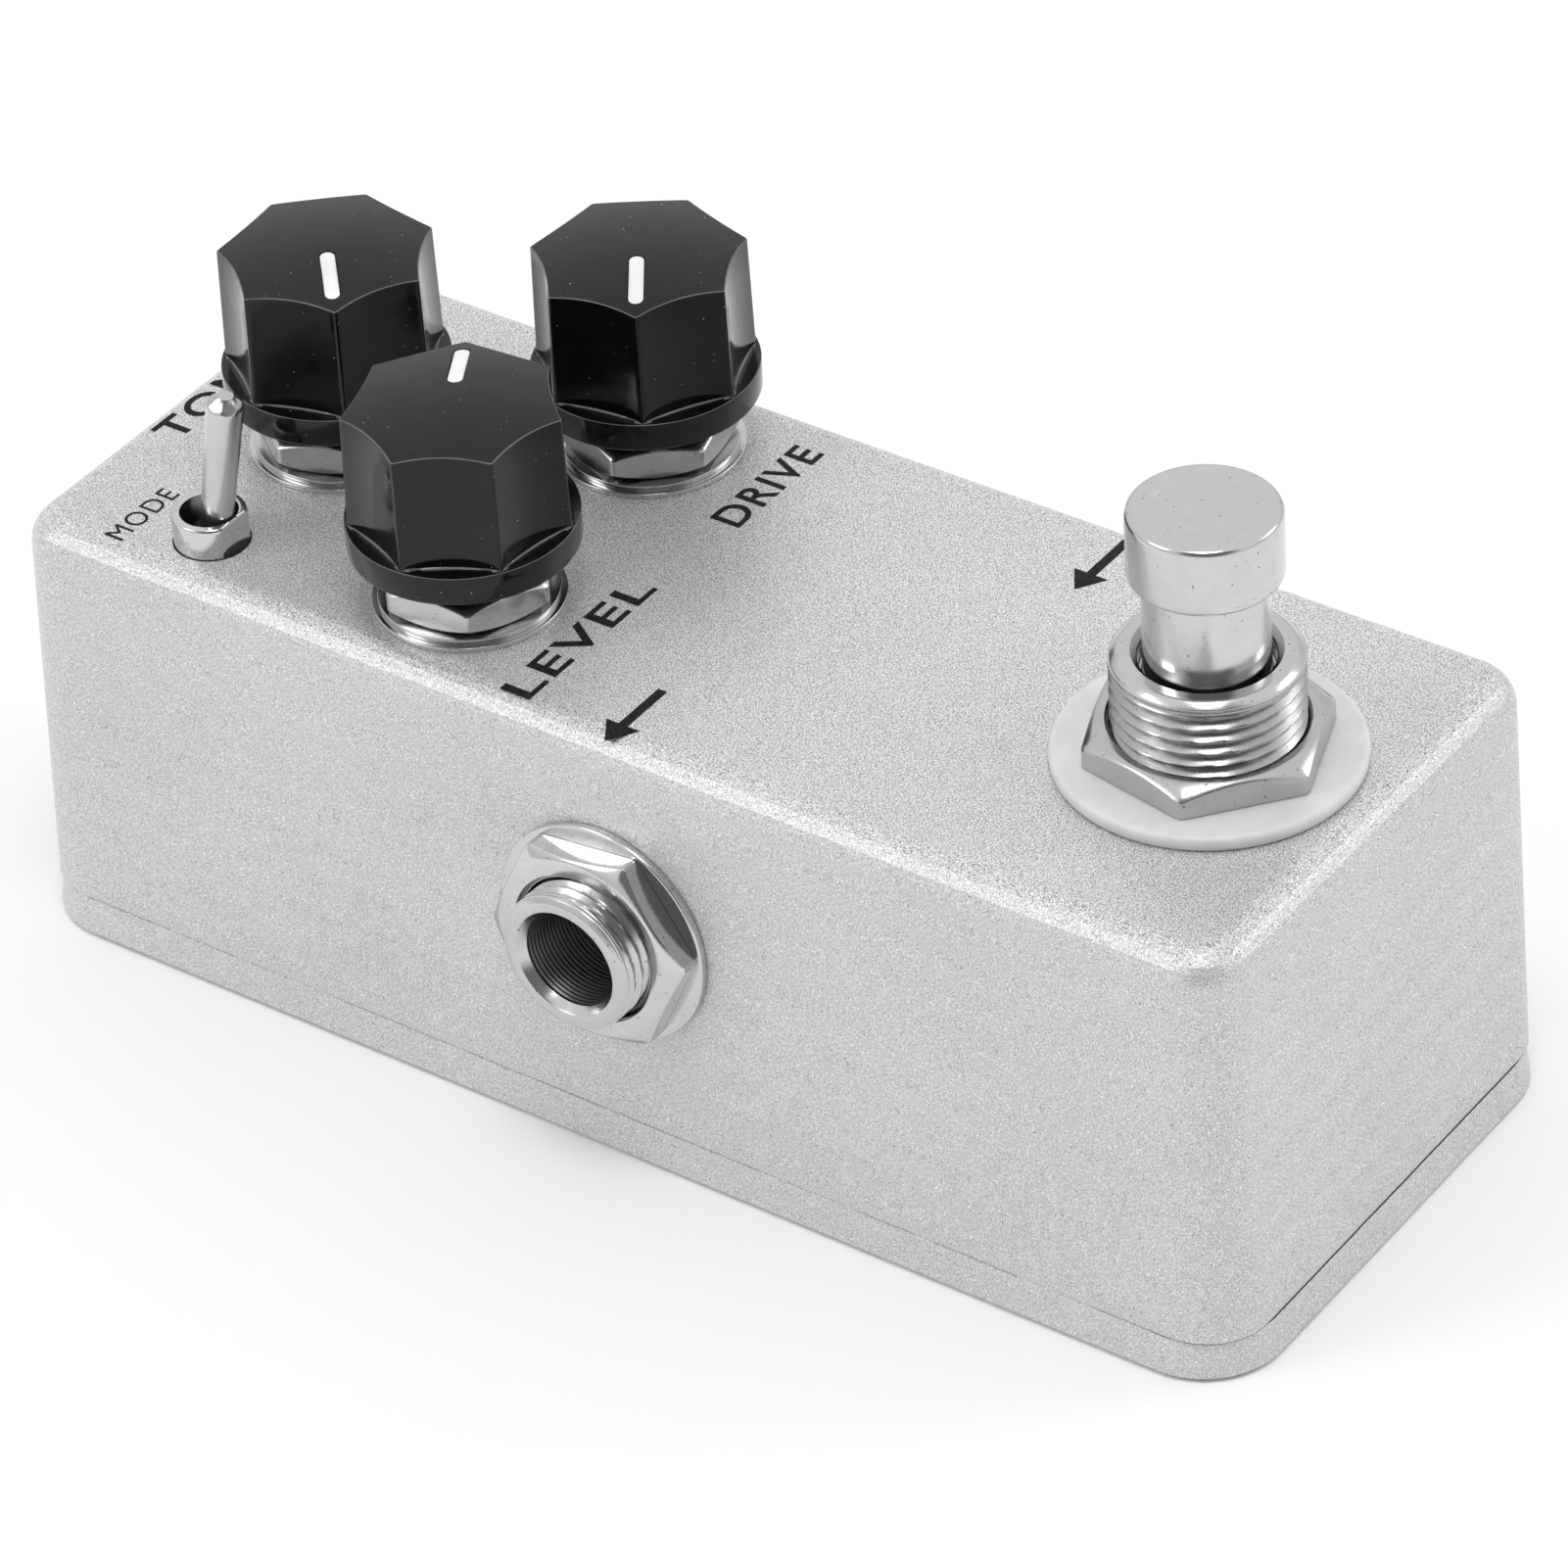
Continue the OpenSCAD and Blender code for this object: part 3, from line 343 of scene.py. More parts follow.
class Look(Tree):
    """A Principled material with noise and bumps whose sizes are in millimetres."""

    def __init__(self, name):
        self.material = bpy.data.materials.new(name)
        self.material.use_nodes = True
        super().__init__(self.material.node_tree)
        self.shader = self.tree.nodes["Principled BSDF"]
        coordinates = self.add("ShaderNodeTexCoord")
        scale = self.add("ShaderNodeVectorMath")
        scale.operation = "SCALE"
        scale.inputs["Scale"].default_value = 1 / MM
        self.link(coordinates.outputs["Object"], scale.inputs[0])
        self.millimetres = scale.outputs[0]
        self.last_bump = None

    def set(self, **values):
        for name, value in values.items():
            self.shader.inputs[name.replace("_", " ")].default_value = value
        return self

    def stretched(self, x, y, z):
        """The millimetre coordinates, each times its own factor."""
        node = self.add("ShaderNodeVectorMath")
        node.operation = "MULTIPLY"
        node.inputs[1].default_value = (x, y, z)
        self.link(self.millimetres, node.inputs[0])
        return node.outputs[0]

    def noise(self, per_mm, detail=2.0, roughness=0.5, vector=None):
        node = self.add("ShaderNodeTexNoise")
        node.inputs["Scale"].default_value = per_mm
        node.inputs["Detail"].default_value = detail
        node.inputs["Roughness"].default_value = roughness
        self.link(vector or self.millimetres, node.inputs["Vector"])
        return node.outputs["Fac"]

    def gap_shadow_line(self, height):
        """1 on a thin, uneven band at a height, where the joint between two castings shows as a painted shadow in
        its gap.
        """
        place = self.split(self.millimetres)
        away = self.add("ShaderNodeMath")
        away.operation = "COMPARE"
        self.link(self.multiply_add(self.noise(0.35, 3.0), SEAM_WANDER, place["Z"]), away.inputs[0])
        away.inputs[1].default_value = height + SEAM_WANDER / 2
        away.inputs[2].default_value = SEAM_HALF_WIDTH
        broken = self.ramp(self.noise(0.11, 4.0, 0.7), (0.44, 0.0), (0.52, 1.0))
        off_end = self.add("ShaderNodeMapRange")
        self.link(place["Y"], off_end.inputs["Value"])
        for limit, y in zip(("From Min", "From Max"), SEAM_WHOLE_Y):
            off_end.inputs[limit].default_value = y
        shown = self.mix(off_end.outputs["Result"], 1.0, self.mix(0.75, broken, 0.0))
        return self.mix(1.0, away.outputs[0], shown, "MULTIPLY")

    def lit_top_boost(self, value, change):
        """A value raised by `change` on faces that look straight up, where the grain shows most: painted light, as
        the tops catch the light that makes the flakes glint.
        """
        normal = self.add("ShaderNodeTexCoord").outputs["Normal"]
        upward = self.ramp(self.split(normal)["Z"], (0.6, 0.0), (0.98, 1.0))
        return self.multiply_add(upward, change, value)

    def colour(self, value):
        self.link(value, self.shader.inputs["Base Color"])
        return self

    def rough(self, value):
        self.link(value, self.shader.inputs["Roughness"])
        return self

    def bump(self, height, strength, depth_mm):
        node = self.add("ShaderNodeBump")
        node.inputs["Strength"].default_value = strength
        node.inputs["Distance"].default_value = depth_mm * MM
        self.link(height, node.inputs["Height"])
        if self.last_bump is not None:
            self.link(self.last_bump, node.inputs["Normal"])
        self.last_bump = node.outputs["Normal"]
        self.link(self.last_bump, self.shader.inputs["Normal"])
        return self


def sparkle_paint(name, dark, middle, light):
    """Silver fleck paint on a casting: fine bright and dark grain over a faint mottle, with each bright fleck
    painted near white as its glint, more so on faces that look up, and a painted shadow along the seam.
    """
    look = Look(name).set(Metallic=0.35)
    grain = look.noise(9.0, 2.0, 0.6)
    base = look.ramp(grain, (0.36, dark), (0.5, middle), (0.62, light))
    # each bright fleck is painted near white as the glint of the paint's flakes; bright and dark specks grow on
    # faces that look up, as painted light
    flecks_and_glints = look.ramp(look.lit_top_boost(look.noise(10.0, 0.0), 0.10), (0.67, 0.0), (0.73, 1.0))
    spots = look.ramp(look.lit_top_boost(look.noise(11.0, 0.0), -0.10), (0.25, 1.0), (0.31, 0.0))
    mottle = look.ramp(look.noise(0.09, 2.0), (0.3, 0.95), (0.7, 1.0))
    coloured = look.mix(flecks_and_glints, base, 0.98)
    coloured = look.mix(spots, coloured, dark * 0.45)
    coloured = look.mix(1.0, coloured, mottle, "MULTIPLY")
    # nearly black along the seam: painted shadow in the gap between housing and base plate
    look.colour(look.mix(look.gap_shadow_line(SEAM_Z), coloured, 0.05))
    look.rough(look.ramp(grain, (0.35, 0.46), (0.65, 0.30)))
    look.bump(look.noise(0.16, 2.0), 0.12, 0.35)
    look.bump(grain, 0.6, 0.035)
    return look.material


def plated(name, shade, low, high, scratch=0.06, worn=0.0, pits_left=0.35):
    """Bright plating: soft unevenness, hairline scratches and a few dull spots."""
    look = Look(name).set(Metallic=1.0)
    cloud = look.noise(0.55, 4.0, 0.6)
    lines = look.noise(1.0, 6.0, 0.7, look.stretched(0.9, 0.9, 26))
    tone = look.ramp(cloud, (0.3, shade * (0.93 - worn)), (0.7, shade))
    pits = look.ramp(look.noise(5.0, 0.0), (0.17, pits_left), (0.21, 1.0))
    look.colour(look.mix(1.0, tone, pits, "MULTIPLY"))
    look.rough(look.ramp(cloud, (0.25, high), (0.75, low)))
    look.bump(look.noise(1.6, 3.0), 0.10, 0.04)
    look.bump(lines, scratch, 0.02)
    return look.material


def moulded(name, dark, light, low, high, dust_above=None, shine=0.5):
    """Moulded plastic: faint flow marks, varied gloss and dust where a noise is above a value."""
    look = Look(name).set(Specular_IOR_Level=shine)
    cloud = look.noise(0.35, 3.0)
    tone = look.ramp(cloud, (0.3, dark), (0.7, light))
    if dust_above:
        dust = look.ramp(look.noise(6.5, 1.0), (dust_above, 0.0), (dust_above + 0.01, 1.0))
        tone = look.mix(dust, tone, 0.55)
    look.colour(tone)
    look.rough(look.ramp(look.noise(0.9, 3.0), (0.3, low), (0.7, high)))
    look.bump(look.noise(0.28, 2.0), 0.08, 0.25)
    look.bump(look.noise(9.0, 2.0), 0.05, 0.01)
    return look.material


def nylon():
    """Milky nylon that lets a little light in."""
    look = Look("milky_nylon").set(Subsurface_Weight=0.35, Subsurface_Scale=1.2 * MM)
    look.set(Subsurface_Radius=(1.0, 1.0, 1.0))
    look.colour(look.ramp(look.noise(0.4, 3.0), (0.3, 0.62), (0.7, 0.70)))
    look.rough(look.ramp(look.noise(1.5, 3.0), (0.3, 0.36), (0.7, 0.5)))
    look.bump(look.noise(0.9, 3.0), 0.08, 0.08)
    return look.material


def ink():
    """Screen printed ink: nearly black, a little broken by the grain beneath it."""
    look = Look("printed_ink").set(Specular_IOR_Level=0.08)
    look.colour(look.ramp(look.noise(4.0, 2.0), (0.3, 0.006), (0.78, 0.03), (0.86, 0.25)))
    look.rough(look.ramp(look.noise(2.0, 2.0), (0.3, 0.42), (0.7, 0.6)))
    look.bump(look.noise(3.4, 3.0), 0.3, 0.02)
    return look.material


def circuit_board():
    """Green solder mask over tracks that run along the board's two directions."""
    look = Look("solder_mask").set(Coat_Weight=0.3)
    wave = look.add("ShaderNodeTexWave")
    wave.wave_type = "BANDS"
    wave.inputs["Scale"].default_value = 0.22
    wave.inputs["Distortion"].default_value = 6.0
    wave.inputs["Detail"].default_value = 0.0
    look.link(look.millimetres, wave.inputs["Vector"])
    tracks = look.ramp(wave.outputs["Fac"], (0.55, 0.0), (0.62, 1.0))
    look.colour(look.mix(tracks, (0.010, 0.075, 0.030), (0.022, 0.17, 0.06)))
    look.rough(look.ramp(look.noise(1.2), (0.3, 0.3), (0.7, 0.45)))
    look.bump(tracks, 0.5, 0.04)
    return look.material


def tinted(name, colour, low, high, metallic=0.0, grain=2.0):
    """Plain coloured material with cloudy tone, varied gloss and a fine grain."""
    look = Look(name).set(Metallic=metallic)
    deep = tuple(c * 0.78 for c in colour)
    look.colour(look.ramp(look.noise(grain * 0.3, 3.0), (0.3, deep), (0.7, colour)))
    look.rough(look.ramp(look.noise(grain, 2.0), (0.3, low), (0.7, high)))
    look.bump(look.noise(grain * 2.5, 2.0), 0.12, 0.02)
    return look.material


PAINT = sparkle_paint("sparkle_paint", 0.49, 0.61, 0.73)
NICKEL = plated("bright_nickel", 0.62, 0.10, 0.20)
TURNED = plated("turned_nickel", 0.58, 0.14, 0.24, scratch=0.12)
# darker copy of the turned nickel for the footswitch thread's faces: painted shade
THREAD_NICKEL_SHADED = plated("thread_nickel_painted_shade", 0.42, 0.22, 0.34, scratch=0.12)
# darker turned nickel for the plug's bore and the floors of threads: painted shade where little light gets in
SHADED_NICKEL = plated("turned_nickel_painted_shade", 0.30, 0.30, 0.42, scratch=0.3)
# darker copy of the nickel for the pot and footswitch nuts: painted shade
NUT_NICKEL_SHADED = plated("nut_nickel_painted_shade", 0.52, 0.17, 0.30, scratch=0.05)
BAT = plated("bat_nickel", 0.58, 0.20, 0.26, scratch=0.04, pits_left=0.8)
SATIN = plated("satin_nickel", 0.60, 0.13, 0.21, scratch=0.04)
ZINC = plated("zinc_sheet", 0.56, 0.28, 0.42, scratch=0.1, worn=0.1)
KNOB_BLACK = moulded("knob_black", 0.003, 0.006, 0.08, 0.15, dust_above=0.796, shine=0.33)
# paler black for the knobs' eased edges: a painted highlight
KNOB_EDGE_HIGHLIGHT = moulded("knob_edge_painted_highlight", 0.09, 0.16, 0.15, 0.25)
BLACK = moulded("socket_black", 0.016, 0.026, 0.28, 0.42)
INLAY = moulded("inlay_white", 0.76, 0.86, 0.26, 0.38)
NYLON = nylon()
INK = ink()

SLOT_LOOKS = {
    "housing_paint": PAINT,
    "plate_paint": PAINT,
    "black_screw_steel": ZINC,
    "nickel": NICKEL,
    "zinc_steel": ZINC,
    "knob_plastic": KNOB_BLACK,
    "white_inlay": INLAY,
    "nylon": NYLON,
    "black_plastic": BLACK,
    "blue_plastic": tinted("blue_case", (0.05, 0.14, 0.42), 0.25, 0.4),
    "red_plastic": tinted("red_case", (0.45, 0.05, 0.04), 0.25, 0.4),
    "green_plastic": tinted("green_case", (0.05, 0.22, 0.12), 0.4, 0.55),
    "gold_pins": tinted("tinned_pins", (0.80, 0.66, 0.38), 0.25, 0.4, metallic=1.0),
    "brass": tinted("plain_brass", (0.72, 0.55, 0.28), 0.25, 0.4, metallic=1.0),
    "insulator_board": tinted("phenolic_board", (0.36, 0.20, 0.10), 0.5, 0.65, grain=3.0),
    "circuit_board": circuit_board(),
    "capacitor_sleeve": tinted("capacitor_sleeve", (0.05, 0.07, 0.22), 0.25, 0.4),
    "film_red": tinted("film_capacitor", (0.50, 0.10, 0.06), 0.2, 0.35),
    "resistor_tan": tinted("resistor_body", (0.62, 0.50, 0.33), 0.4, 0.55),
    "wire_jacket": tinted("wire_jacket", (0.15, 0.15, 0.16), 0.4, 0.55),
    "red_wire": tinted("red_wire", (0.55, 0.05, 0.04), 0.4, 0.55),
    "ribbon_wire": tinted("ribbon_wire", (0.45, 0.45, 0.46), 0.45, 0.6),
    "spring_steel": plated("spring_wire", 0.7, 0.2, 0.32),
}

# ---------------------------------------------------------------- CAD nodes that stay
for part in record["subparts"]:
    node = frame["nodes"][part["node"]]
    node.data.materials.clear()
    node.data.materials.append(SLOT_LOOKS[part["material_slot"]])
    smooth(node.data, CAD_EDGE_ANGLE)
even_normals(frame["nodes"]["enclosure"])

# ---------------------------------------------------------------- base plate
PLATE_CORNER_R = 5.4
PLATE_LEAN = 0.3
PLATE_FOOT = 0.5        # the sides lean from this height up
PLATE_SLACK = 0.1


def make_plate():
    """The base plate with sides that lean in to meet the housing almost flush."""
    corner = node_box("base_plate")[1]
    flat_x, flat_y = corner.x - PLATE_CORNER_R, corner.y - PLATE_CORNER_R
    mesh = frame["nodes"]["base_plate"].data.copy()
    mesh.name = "base_plate_leaning"
    for vertex in mesh.vertices:
        p = vertex.co / MM
        out = p - Vector((max(-flat_x, min(flat_x, p.x)), max(-flat_y, min(flat_y, p.y)), p.z))
        at_side = out.length > PLATE_CORNER_R - PLATE_SLACK
        if at_side and PLATE_FOOT < p.z < SEAM_Z - PLATE_SLACK:
            vertex.co = (p - out.normalized() * PLATE_LEAN) * MM
    piece = into_scene("base_plate_leaning", mesh)
    even_normals(piece)
    dress(piece, PAINT, CASE, "plate_paint", "base_plate")


make_plate()

# ---------------------------------------------------------------- knobs
FLUTES = 7
FLUTE_R = 15.3          # radius of each flute's hollow arc
FLUTE_MID_R = 6.0       # knob's radius in the middle of a flute
FLUTE_REACH = 0.72      # angle to each side in which a flute shapes the knob, in radians
FLUTE_TAPER = 0.022     # share by which the knob widens down to its skirt
CORNER_SHARPNESS = 14.0
DOME_R = 27.1
SKIRT_H = 2.0
SKIRT_EASE = 0.14
RECESS_R, RECESS_H = 5.2, 3.2
SHAFT_R, BORE_H = 3.05, 5.0
EDGE = 0.11
SLOT_START, SLOT_END, SLOT_W, SLOT_DEPTH = 1.2, 5.8, 1.05, 1.6
INLAY_GAP, INLAY_SUNK, INLAY_DEPTH = 0.06, 0.07, 1.7


def fluted_radius(angle):
    """Distance of the fluted side from the knob's axis, with its corners just eased."""
    centre = FLUTE_MID_R + FLUTE_R
    total = 0.0
    for flute in range(FLUTES):
        turn = angle - 2 * math.pi / FLUTES * (flute + 0.5)
        turn = (turn + math.pi) % (2 * math.pi) - math.pi
        if abs(turn) < FLUTE_REACH:
            half_chord = math.sqrt(FLUTE_R ** 2 - (centre * math.sin(turn)) ** 2)
            total += math.exp(-CORNER_SHARPNESS * (centre * math.cos(turn) - half_chord))
    return -math.log(total) / CORNER_SHARPNESS


def dome_z(height, r):
    """Height of a knob's domed top at a distance from its axis."""
    return height - DOME_R + math.sqrt(DOME_R ** 2 - r * r)


def knob_shape(skirt_r, height):
    """Fluted knob with a domed top, standing on its skirt at local z = 0."""
    radii = {a: fluted_radius(a) for a in corner_angles(FLUTES, 0.0, 26)}
    edge_z = dome_z(height, max(radii.values())) - EDGE
    rows = []
    for share in (0.02, 0.25, 0.5, 0.75, 0.9):
        rows.append((
            lambda a, s=share: (radii[a] - EDGE) * s,
            lambda a, s=share: dome_z(height, (radii[a] - EDGE) * s),
        ))
    for step in range(5):
        t = math.radians(90 - 90 * step / 4)
        rows.append((
            lambda a, t=t: radii[a] - EDGE + EDGE * math.cos(t),
            lambda a, t=t: dome_z(height, radii[a] - EDGE) - EDGE + EDGE * math.sin(t),
        ))
    for share in (0.25, 0.5, 0.75, 0.97):
        rows.append((
            lambda a, s=share: radii[a] * (1 + FLUTE_TAPER * s),
            constant(edge_z + (SKIRT_H - edge_z) * share),
        ))
    rim = skirt_r - SKIRT_EASE
    for share, rise in ((0.0, 0.10), (0.12, 0.02), (0.45, -0.03), (1.0, 0.0)):
        rows.append((
            lambda a, s=share: radii[a] * (1 + FLUTE_TAPER) * (1 - s) + rim * s,
            constant(SKIRT_H + rise),
        ))
    side = eased([(rim, SKIRT_H), (skirt_r, SKIRT_H, 0.13), (skirt_r, 0, 0.25),
                  (RECESS_R, 0, 0.3), (RECESS_R, RECESS_H, 0.2), (SHAFT_R, RECESS_H, 0.2),
                  (SHAFT_R, RECESS_H + BORE_H)], closed=False)
    rows += plain_rows(side[1:])
    return varied(rows, list(radii), closed=False)


def stadium(start, end, width, count=14):
    """Outline with round ends along local X, as (spine point, offset) pairs."""
    pairs = []
    for centre, first in ((end, -90), (start, 90)):
        for i in range(count + 1):
            a = math.radians(first + 180 * i / count)
            offset = Vector((math.cos(a), math.sin(a), 0)) * width / 2
            pairs.append((Vector((centre, 0, 0)), offset))
    return pairs


def stadium_block(start, end, width, low, top, rows=(1.0, 0.9, 0.6, 0.0)):
    """Closed bar with round ends, whose top follows a height function of the radius."""
    pairs = stadium(start + width / 2, end - width / 2, width)
    rings = [[(*(s + o)[:2], low) for s, o in pairs]]
    for share in rows:
        ring = []
        for s, o in pairs:
            p = s + o * share
            ring.append((p.x, p.y, top(math.hypot(p.x, p.y))))
        rings.append(ring)
    return loft(rings, closed=False)


def cut(piece, tool):
    """Takes the tool's solid out of the piece and removes the tool."""
    boolean = piece.modifiers.new("cut", "BOOLEAN")
    boolean.operation = "DIFFERENCE"
    boolean.solver = "EXACT"
    boolean.object = tool
    mesh = evaluated_mesh(piece)
    piece.modifiers.clear()
    piece.data = mesh
    smooth(mesh, EDGE_ANGLE)
    bpy.data.objects.remove(tool)


def paint_edge_highlights(knob, place):
    """Gives the eased edges, which catch the light, their paler look: a painted highlight."""
    highlight_index = look_index(knob, KNOB_EDGE_HIGHLIGHT)
    for face, r, z in faces_about(knob, place):
        if r > RECESS_R + 0.7 and z > SKIRT_H - 0.2 and 0.2 < face.normal.z < 0.9:
            face.material_index = highlight_index


def make_knob(control):
    """Knob with a cut slot and the white inlay that nearly fills it."""
    knob_lo, knob_hi = node_box(control + "_knob")
    pointer_lo, pointer_hi = node_box(control + "_knob_pointer")
    middle = (knob_lo + knob_hi) / 2
    aim = (pointer_lo + pointer_hi) / 2 - middle
    height = knob_hi.z - knob_lo.z
    turn = Matrix.Rotation(math.atan2(aim.y, aim.x), 4, "Z")
    place = upright(middle.x, middle.y, knob_lo.z) @ turn

    shape = knob_shape((knob_hi.x - knob_lo.x) / 2, height)
    knob = finished(shape, control + "_knob_fluted", place)
    slot = stadium_block(SLOT_START, SLOT_END, SLOT_W, height - SLOT_DEPTH, constant(height + 1))
    cut(knob, finished(slot, "slot", place))
    dress(knob, KNOB_BLACK, control + "_control", "knob_plastic", control + "_knob")
    paint_edge_highlights(knob, place)

    inlay = stadium_block(SLOT_START + INLAY_GAP, SLOT_END - INLAY_GAP, SLOT_W - 2 * INLAY_GAP,
                          height - INLAY_DEPTH, lambda r: dome_z(height, r) - INLAY_SUNK,
                          (1.0, 0.94, 0.6, 0.0))
    pointer = finished(inlay, control + "_pointer_inlay", place)
    dress(pointer, INLAY, control + "_control", "white_inlay", control + "_knob_pointer")


CONTROLS = ("output", "gain", "treble")
for control in CONTROLS:
    make_knob(control)


# ---------------------------------------------------------------- threads and nuts
# A bushing's thread has a pitch and a depth. It starts at its lowest height and ends
# a plain lip below the bushing's top.
THREAD_STEP = 0.045                     # height of one row of a thread
THREAD_CREST, THREAD_FLANK = 0.06, 0.8  # shares of half a pitch
HEX_EASE = 0.077                        # how far a hexagon's corners are rounded off
GROOVE_FROM, GROOVE_TO = 0.75, 1.2      # depths that count as a groove's floor, in thread depths
NUT_GAP = 0.05                          # between a nut or washer and the thread it's on
NUT_FACE_SHARE = 0.965                  # radius of a nut's flat face, in half widths
NUT_CHAMFER, NUT_LEAD = 30, 0.42        # angle outside in degrees, depth of the lead-in inside


def thread_rows(radius, pitch, depth, low, high):
    """Rows of a single-start thread between two heights, faded out at both ends."""
    rows = []
    count = max(int((high - low) / THREAD_STEP), 8)
    for i in range(count + 1):
        z = low + (high - low) * i / count
        fade = min(1.0, (z - low) / (0.5 * pitch), (high - z) / (0.5 * pitch))

        def radius_at(angle, z=z, fade=fade):
            phase = (z / pitch - angle / (2 * math.pi)) % 1.0
            wave = abs(2 * phase - 1)
            groove = min(max((wave - THREAD_CREST) / THREAD_FLANK, 0.0), 1.0)
            return radius - depth * groove * fade

        rows.append((radius_at, constant(z)))
    return rows


def mark_thread(piece, place, radius, depth, low, high, flank):
    """Gives the floor of a thread's grooves a duller look, darkened as painted shade, and its flanks the look
    named.
    """
    groove_shade_index = look_index(piece, SHADED_NICKEL)
    flank_index = look_index(piece, flank)
    for face, r, z in faces_about(piece, place):
        deep = radius - r
        if low < z < high and deep < GROOVE_TO * depth:
            face.material_index = groove_shade_index if deep > GROOVE_FROM * depth else flank_index


def hex_radius(angle, turn, across):
    """Distance of a hexagon's side from its axis, with its corners a little rounded."""
    local = (angle - turn) % (math.pi / 3) - math.pi / 6
    side = across / 2 / math.cos(local)
    return min(side, across / 2 / math.cos(math.pi / 6) - HEX_EASE)


def nut_shape(across, thick, bore, turn, both=False):
    """Hexagon nut on local z = 0, its corners turned at 30 degrees on top or on both faces."""
    face_r = across / 2 * NUT_FACE_SHARE
    slope = math.tan(math.radians(NUT_CHAMFER))
    edge = 0.07

    def side(a):
        return hex_radius(a, turn, across)

    def shoulder(a):
        return max(side(a) - edge, face_r + 0.01)

    def cone(a, inset):
        return thick - max(side(a) - inset - face_r, 0) * slope

    lead = min(NUT_LEAD, (face_r - bore) * 0.35)
    rows = plain_rows([(bore, 0.25), (bore, thick - lead * 0.9), (bore + lead * 0.85, thick - 0.04),
                       (bore + lead, thick), (face_r - 0.1, thick), (face_r, thick - 0.015)])
    rows.append((shoulder, lambda a: cone(a, edge)))
    rows.append((side, lambda a: cone(a, 0) - edge))
    if both:
        rows.append((side, lambda a: thick - cone(a, 0) + edge))
        rows.append((shoulder, lambda a: thick - cone(a, edge)))
        rows.append((constant(face_r - 0.1), constant(0)))
    else:
        rows.append((side, constant(edge)))
        rows.append((lambda a: side(a) - edge, constant(0)))
    rows += plain_rows([(bore + 0.25, 0)])
    return varied(rows, corner_angles(6, turn, 20))


def washer_shape(outer, inner, low, high, edge=0.08):
    corners = ((inner, low), (inner, high), (outer, high), (outer, low))
    return turned(eased([(r, z, edge) for r, z in corners]))


# ---------------------------------------------------------------- potentiometer hardware
POT_NUT_AF, POT_NUT_T = 10.0, 2.2
POT_WASHER_R, POT_TOP_WASHER_R = 6.1, 5.7
POT_BORE_R = 2.65
POT_PITCH, POT_DEPTH, POT_THREAD_LOW, POT_LIP = 0.75, 0.32, 1.6, 0.35
washer_t = node_box("pot_washers")[1].z - PANEL_Z


def pot_bushing_shape(radius, bottom, top):
    """Bushing whose thread runs from just above the panel to its chamfered mouth."""
    rows = plain_rows([(POT_BORE_R, bottom), (radius, bottom)])
    rows += thread_rows(radius, POT_PITCH, POT_DEPTH, POT_THREAD_LOW, top - POT_LIP)
    rows += plain_rows([(radius - 0.3, top), (POT_BORE_R + 0.15, top), (POT_BORE_R, top - 0.15)])
    return varied(rows, even_angles(96))


nuts, washers = [], []
for control in CONTROLS:
    lo, hi = node_box(control + "_pot_bushing")
    middle = (lo + hi) / 2
    bushing_r = (hi.x - lo.x) / 2
    bore = bushing_r + NUT_GAP
    at = upright(middle.x, middle.y, PANEL_Z)
    nut_at = upright(middle.x, middle.y, PANEL_Z + washer_t)
    turn = hexagon_turn("pot_nuts", nut_at, POT_NUT_AF * 0.7)
    nuts.append((nut_shape(POT_NUT_AF, POT_NUT_T, bore, turn, both=True), nut_at))
    washers.append((washer_shape(POT_WASHER_R, bore, 0, washer_t * 0.5), at))
    washers.append((washer_shape(POT_TOP_WASHER_R, bore, washer_t * 0.5, washer_t, 0.06), at))
    shape = pot_bushing_shape(bushing_r, lo.z - PANEL_Z, hi.z - PANEL_Z)
    bushing = finished(shape, control + "_pot_thread", at)
    dress(bushing, TURNED, CASE, "nickel", control + "_pot_bushing")
dress(finished(joined(*nuts), "pot_hex_nuts"), NUT_NICKEL_SHADED, CASE, "nickel", "pot_nuts")
dress(finished(joined(*washers), "pot_flat_washers"), TURNED, CASE, "nickel", "pot_washers")

# ---------------------------------------------------------------- toggle switch
TOGGLE_FLAT = 1.98
TOGGLE_MOUTH_R = 1.88
TOGGLE_THROAT_R = 1.6
TOGGLE_LIP_H, TOGGLE_LIP_IN = 0.3, 0.16
LEVER_L = 13.4
throw = joints["toggle_throw"]
lean = -math.radians(throw["range_deg"][0]) / 2
pivot = Vector(throw["pos_m"]) / MM


def toggle_collar():
    """Round collar with one flat on its -Y side and a rounded lip."""
    lo, hi = node_box("toggle_bushing")
    radius = (hi.x - lo.x) / 2
    bottom, top = lo.z - PANEL_Z, hi.z - PANEL_Z
    flat_edge = math.asin(TOGGLE_FLAT / radius)
    round_span = (-flat_edge, math.pi + flat_edge, 66)
    flat_span = (math.pi + flat_edge, 2 * math.pi - flat_edge, 14)
    angles = []
    for start, end, count in (round_span, flat_span):
        angles += [start + (end - start) * i / count for i in range(count)]

    def side(a, inset=0.0):
        reach = radius - inset
        if math.sin(a) < 0:
            return min(reach, (TOGGLE_FLAT - inset) / max(-math.sin(a), 1e-3))
        return reach

    lip_z = top - TOGGLE_LIP_H
    rows = [(side, constant(bottom)), (side, constant(0.05)), (side, constant(lip_z))]
    for step in range(1, 5):
        t = math.radians(90 * step / 4)
        inset = TOGGLE_LIP_IN * (1 - math.cos(t))
        rows.append((lambda a, i=inset: max(side(a, i), TOGGLE_MOUTH_R + 0.02),
                     constant(lip_z + TOGGLE_LIP_H * math.sin(t))))
    rows += plain_rows([(TOGGLE_MOUTH_R, top - 0.02), (TOGGLE_THROAT_R + 0.03, top - 1.0),
                        (TOGGLE_THROAT_R, top - 1.2), (TOGGLE_THROAT_R, bottom)])
    return varied(rows, angles)


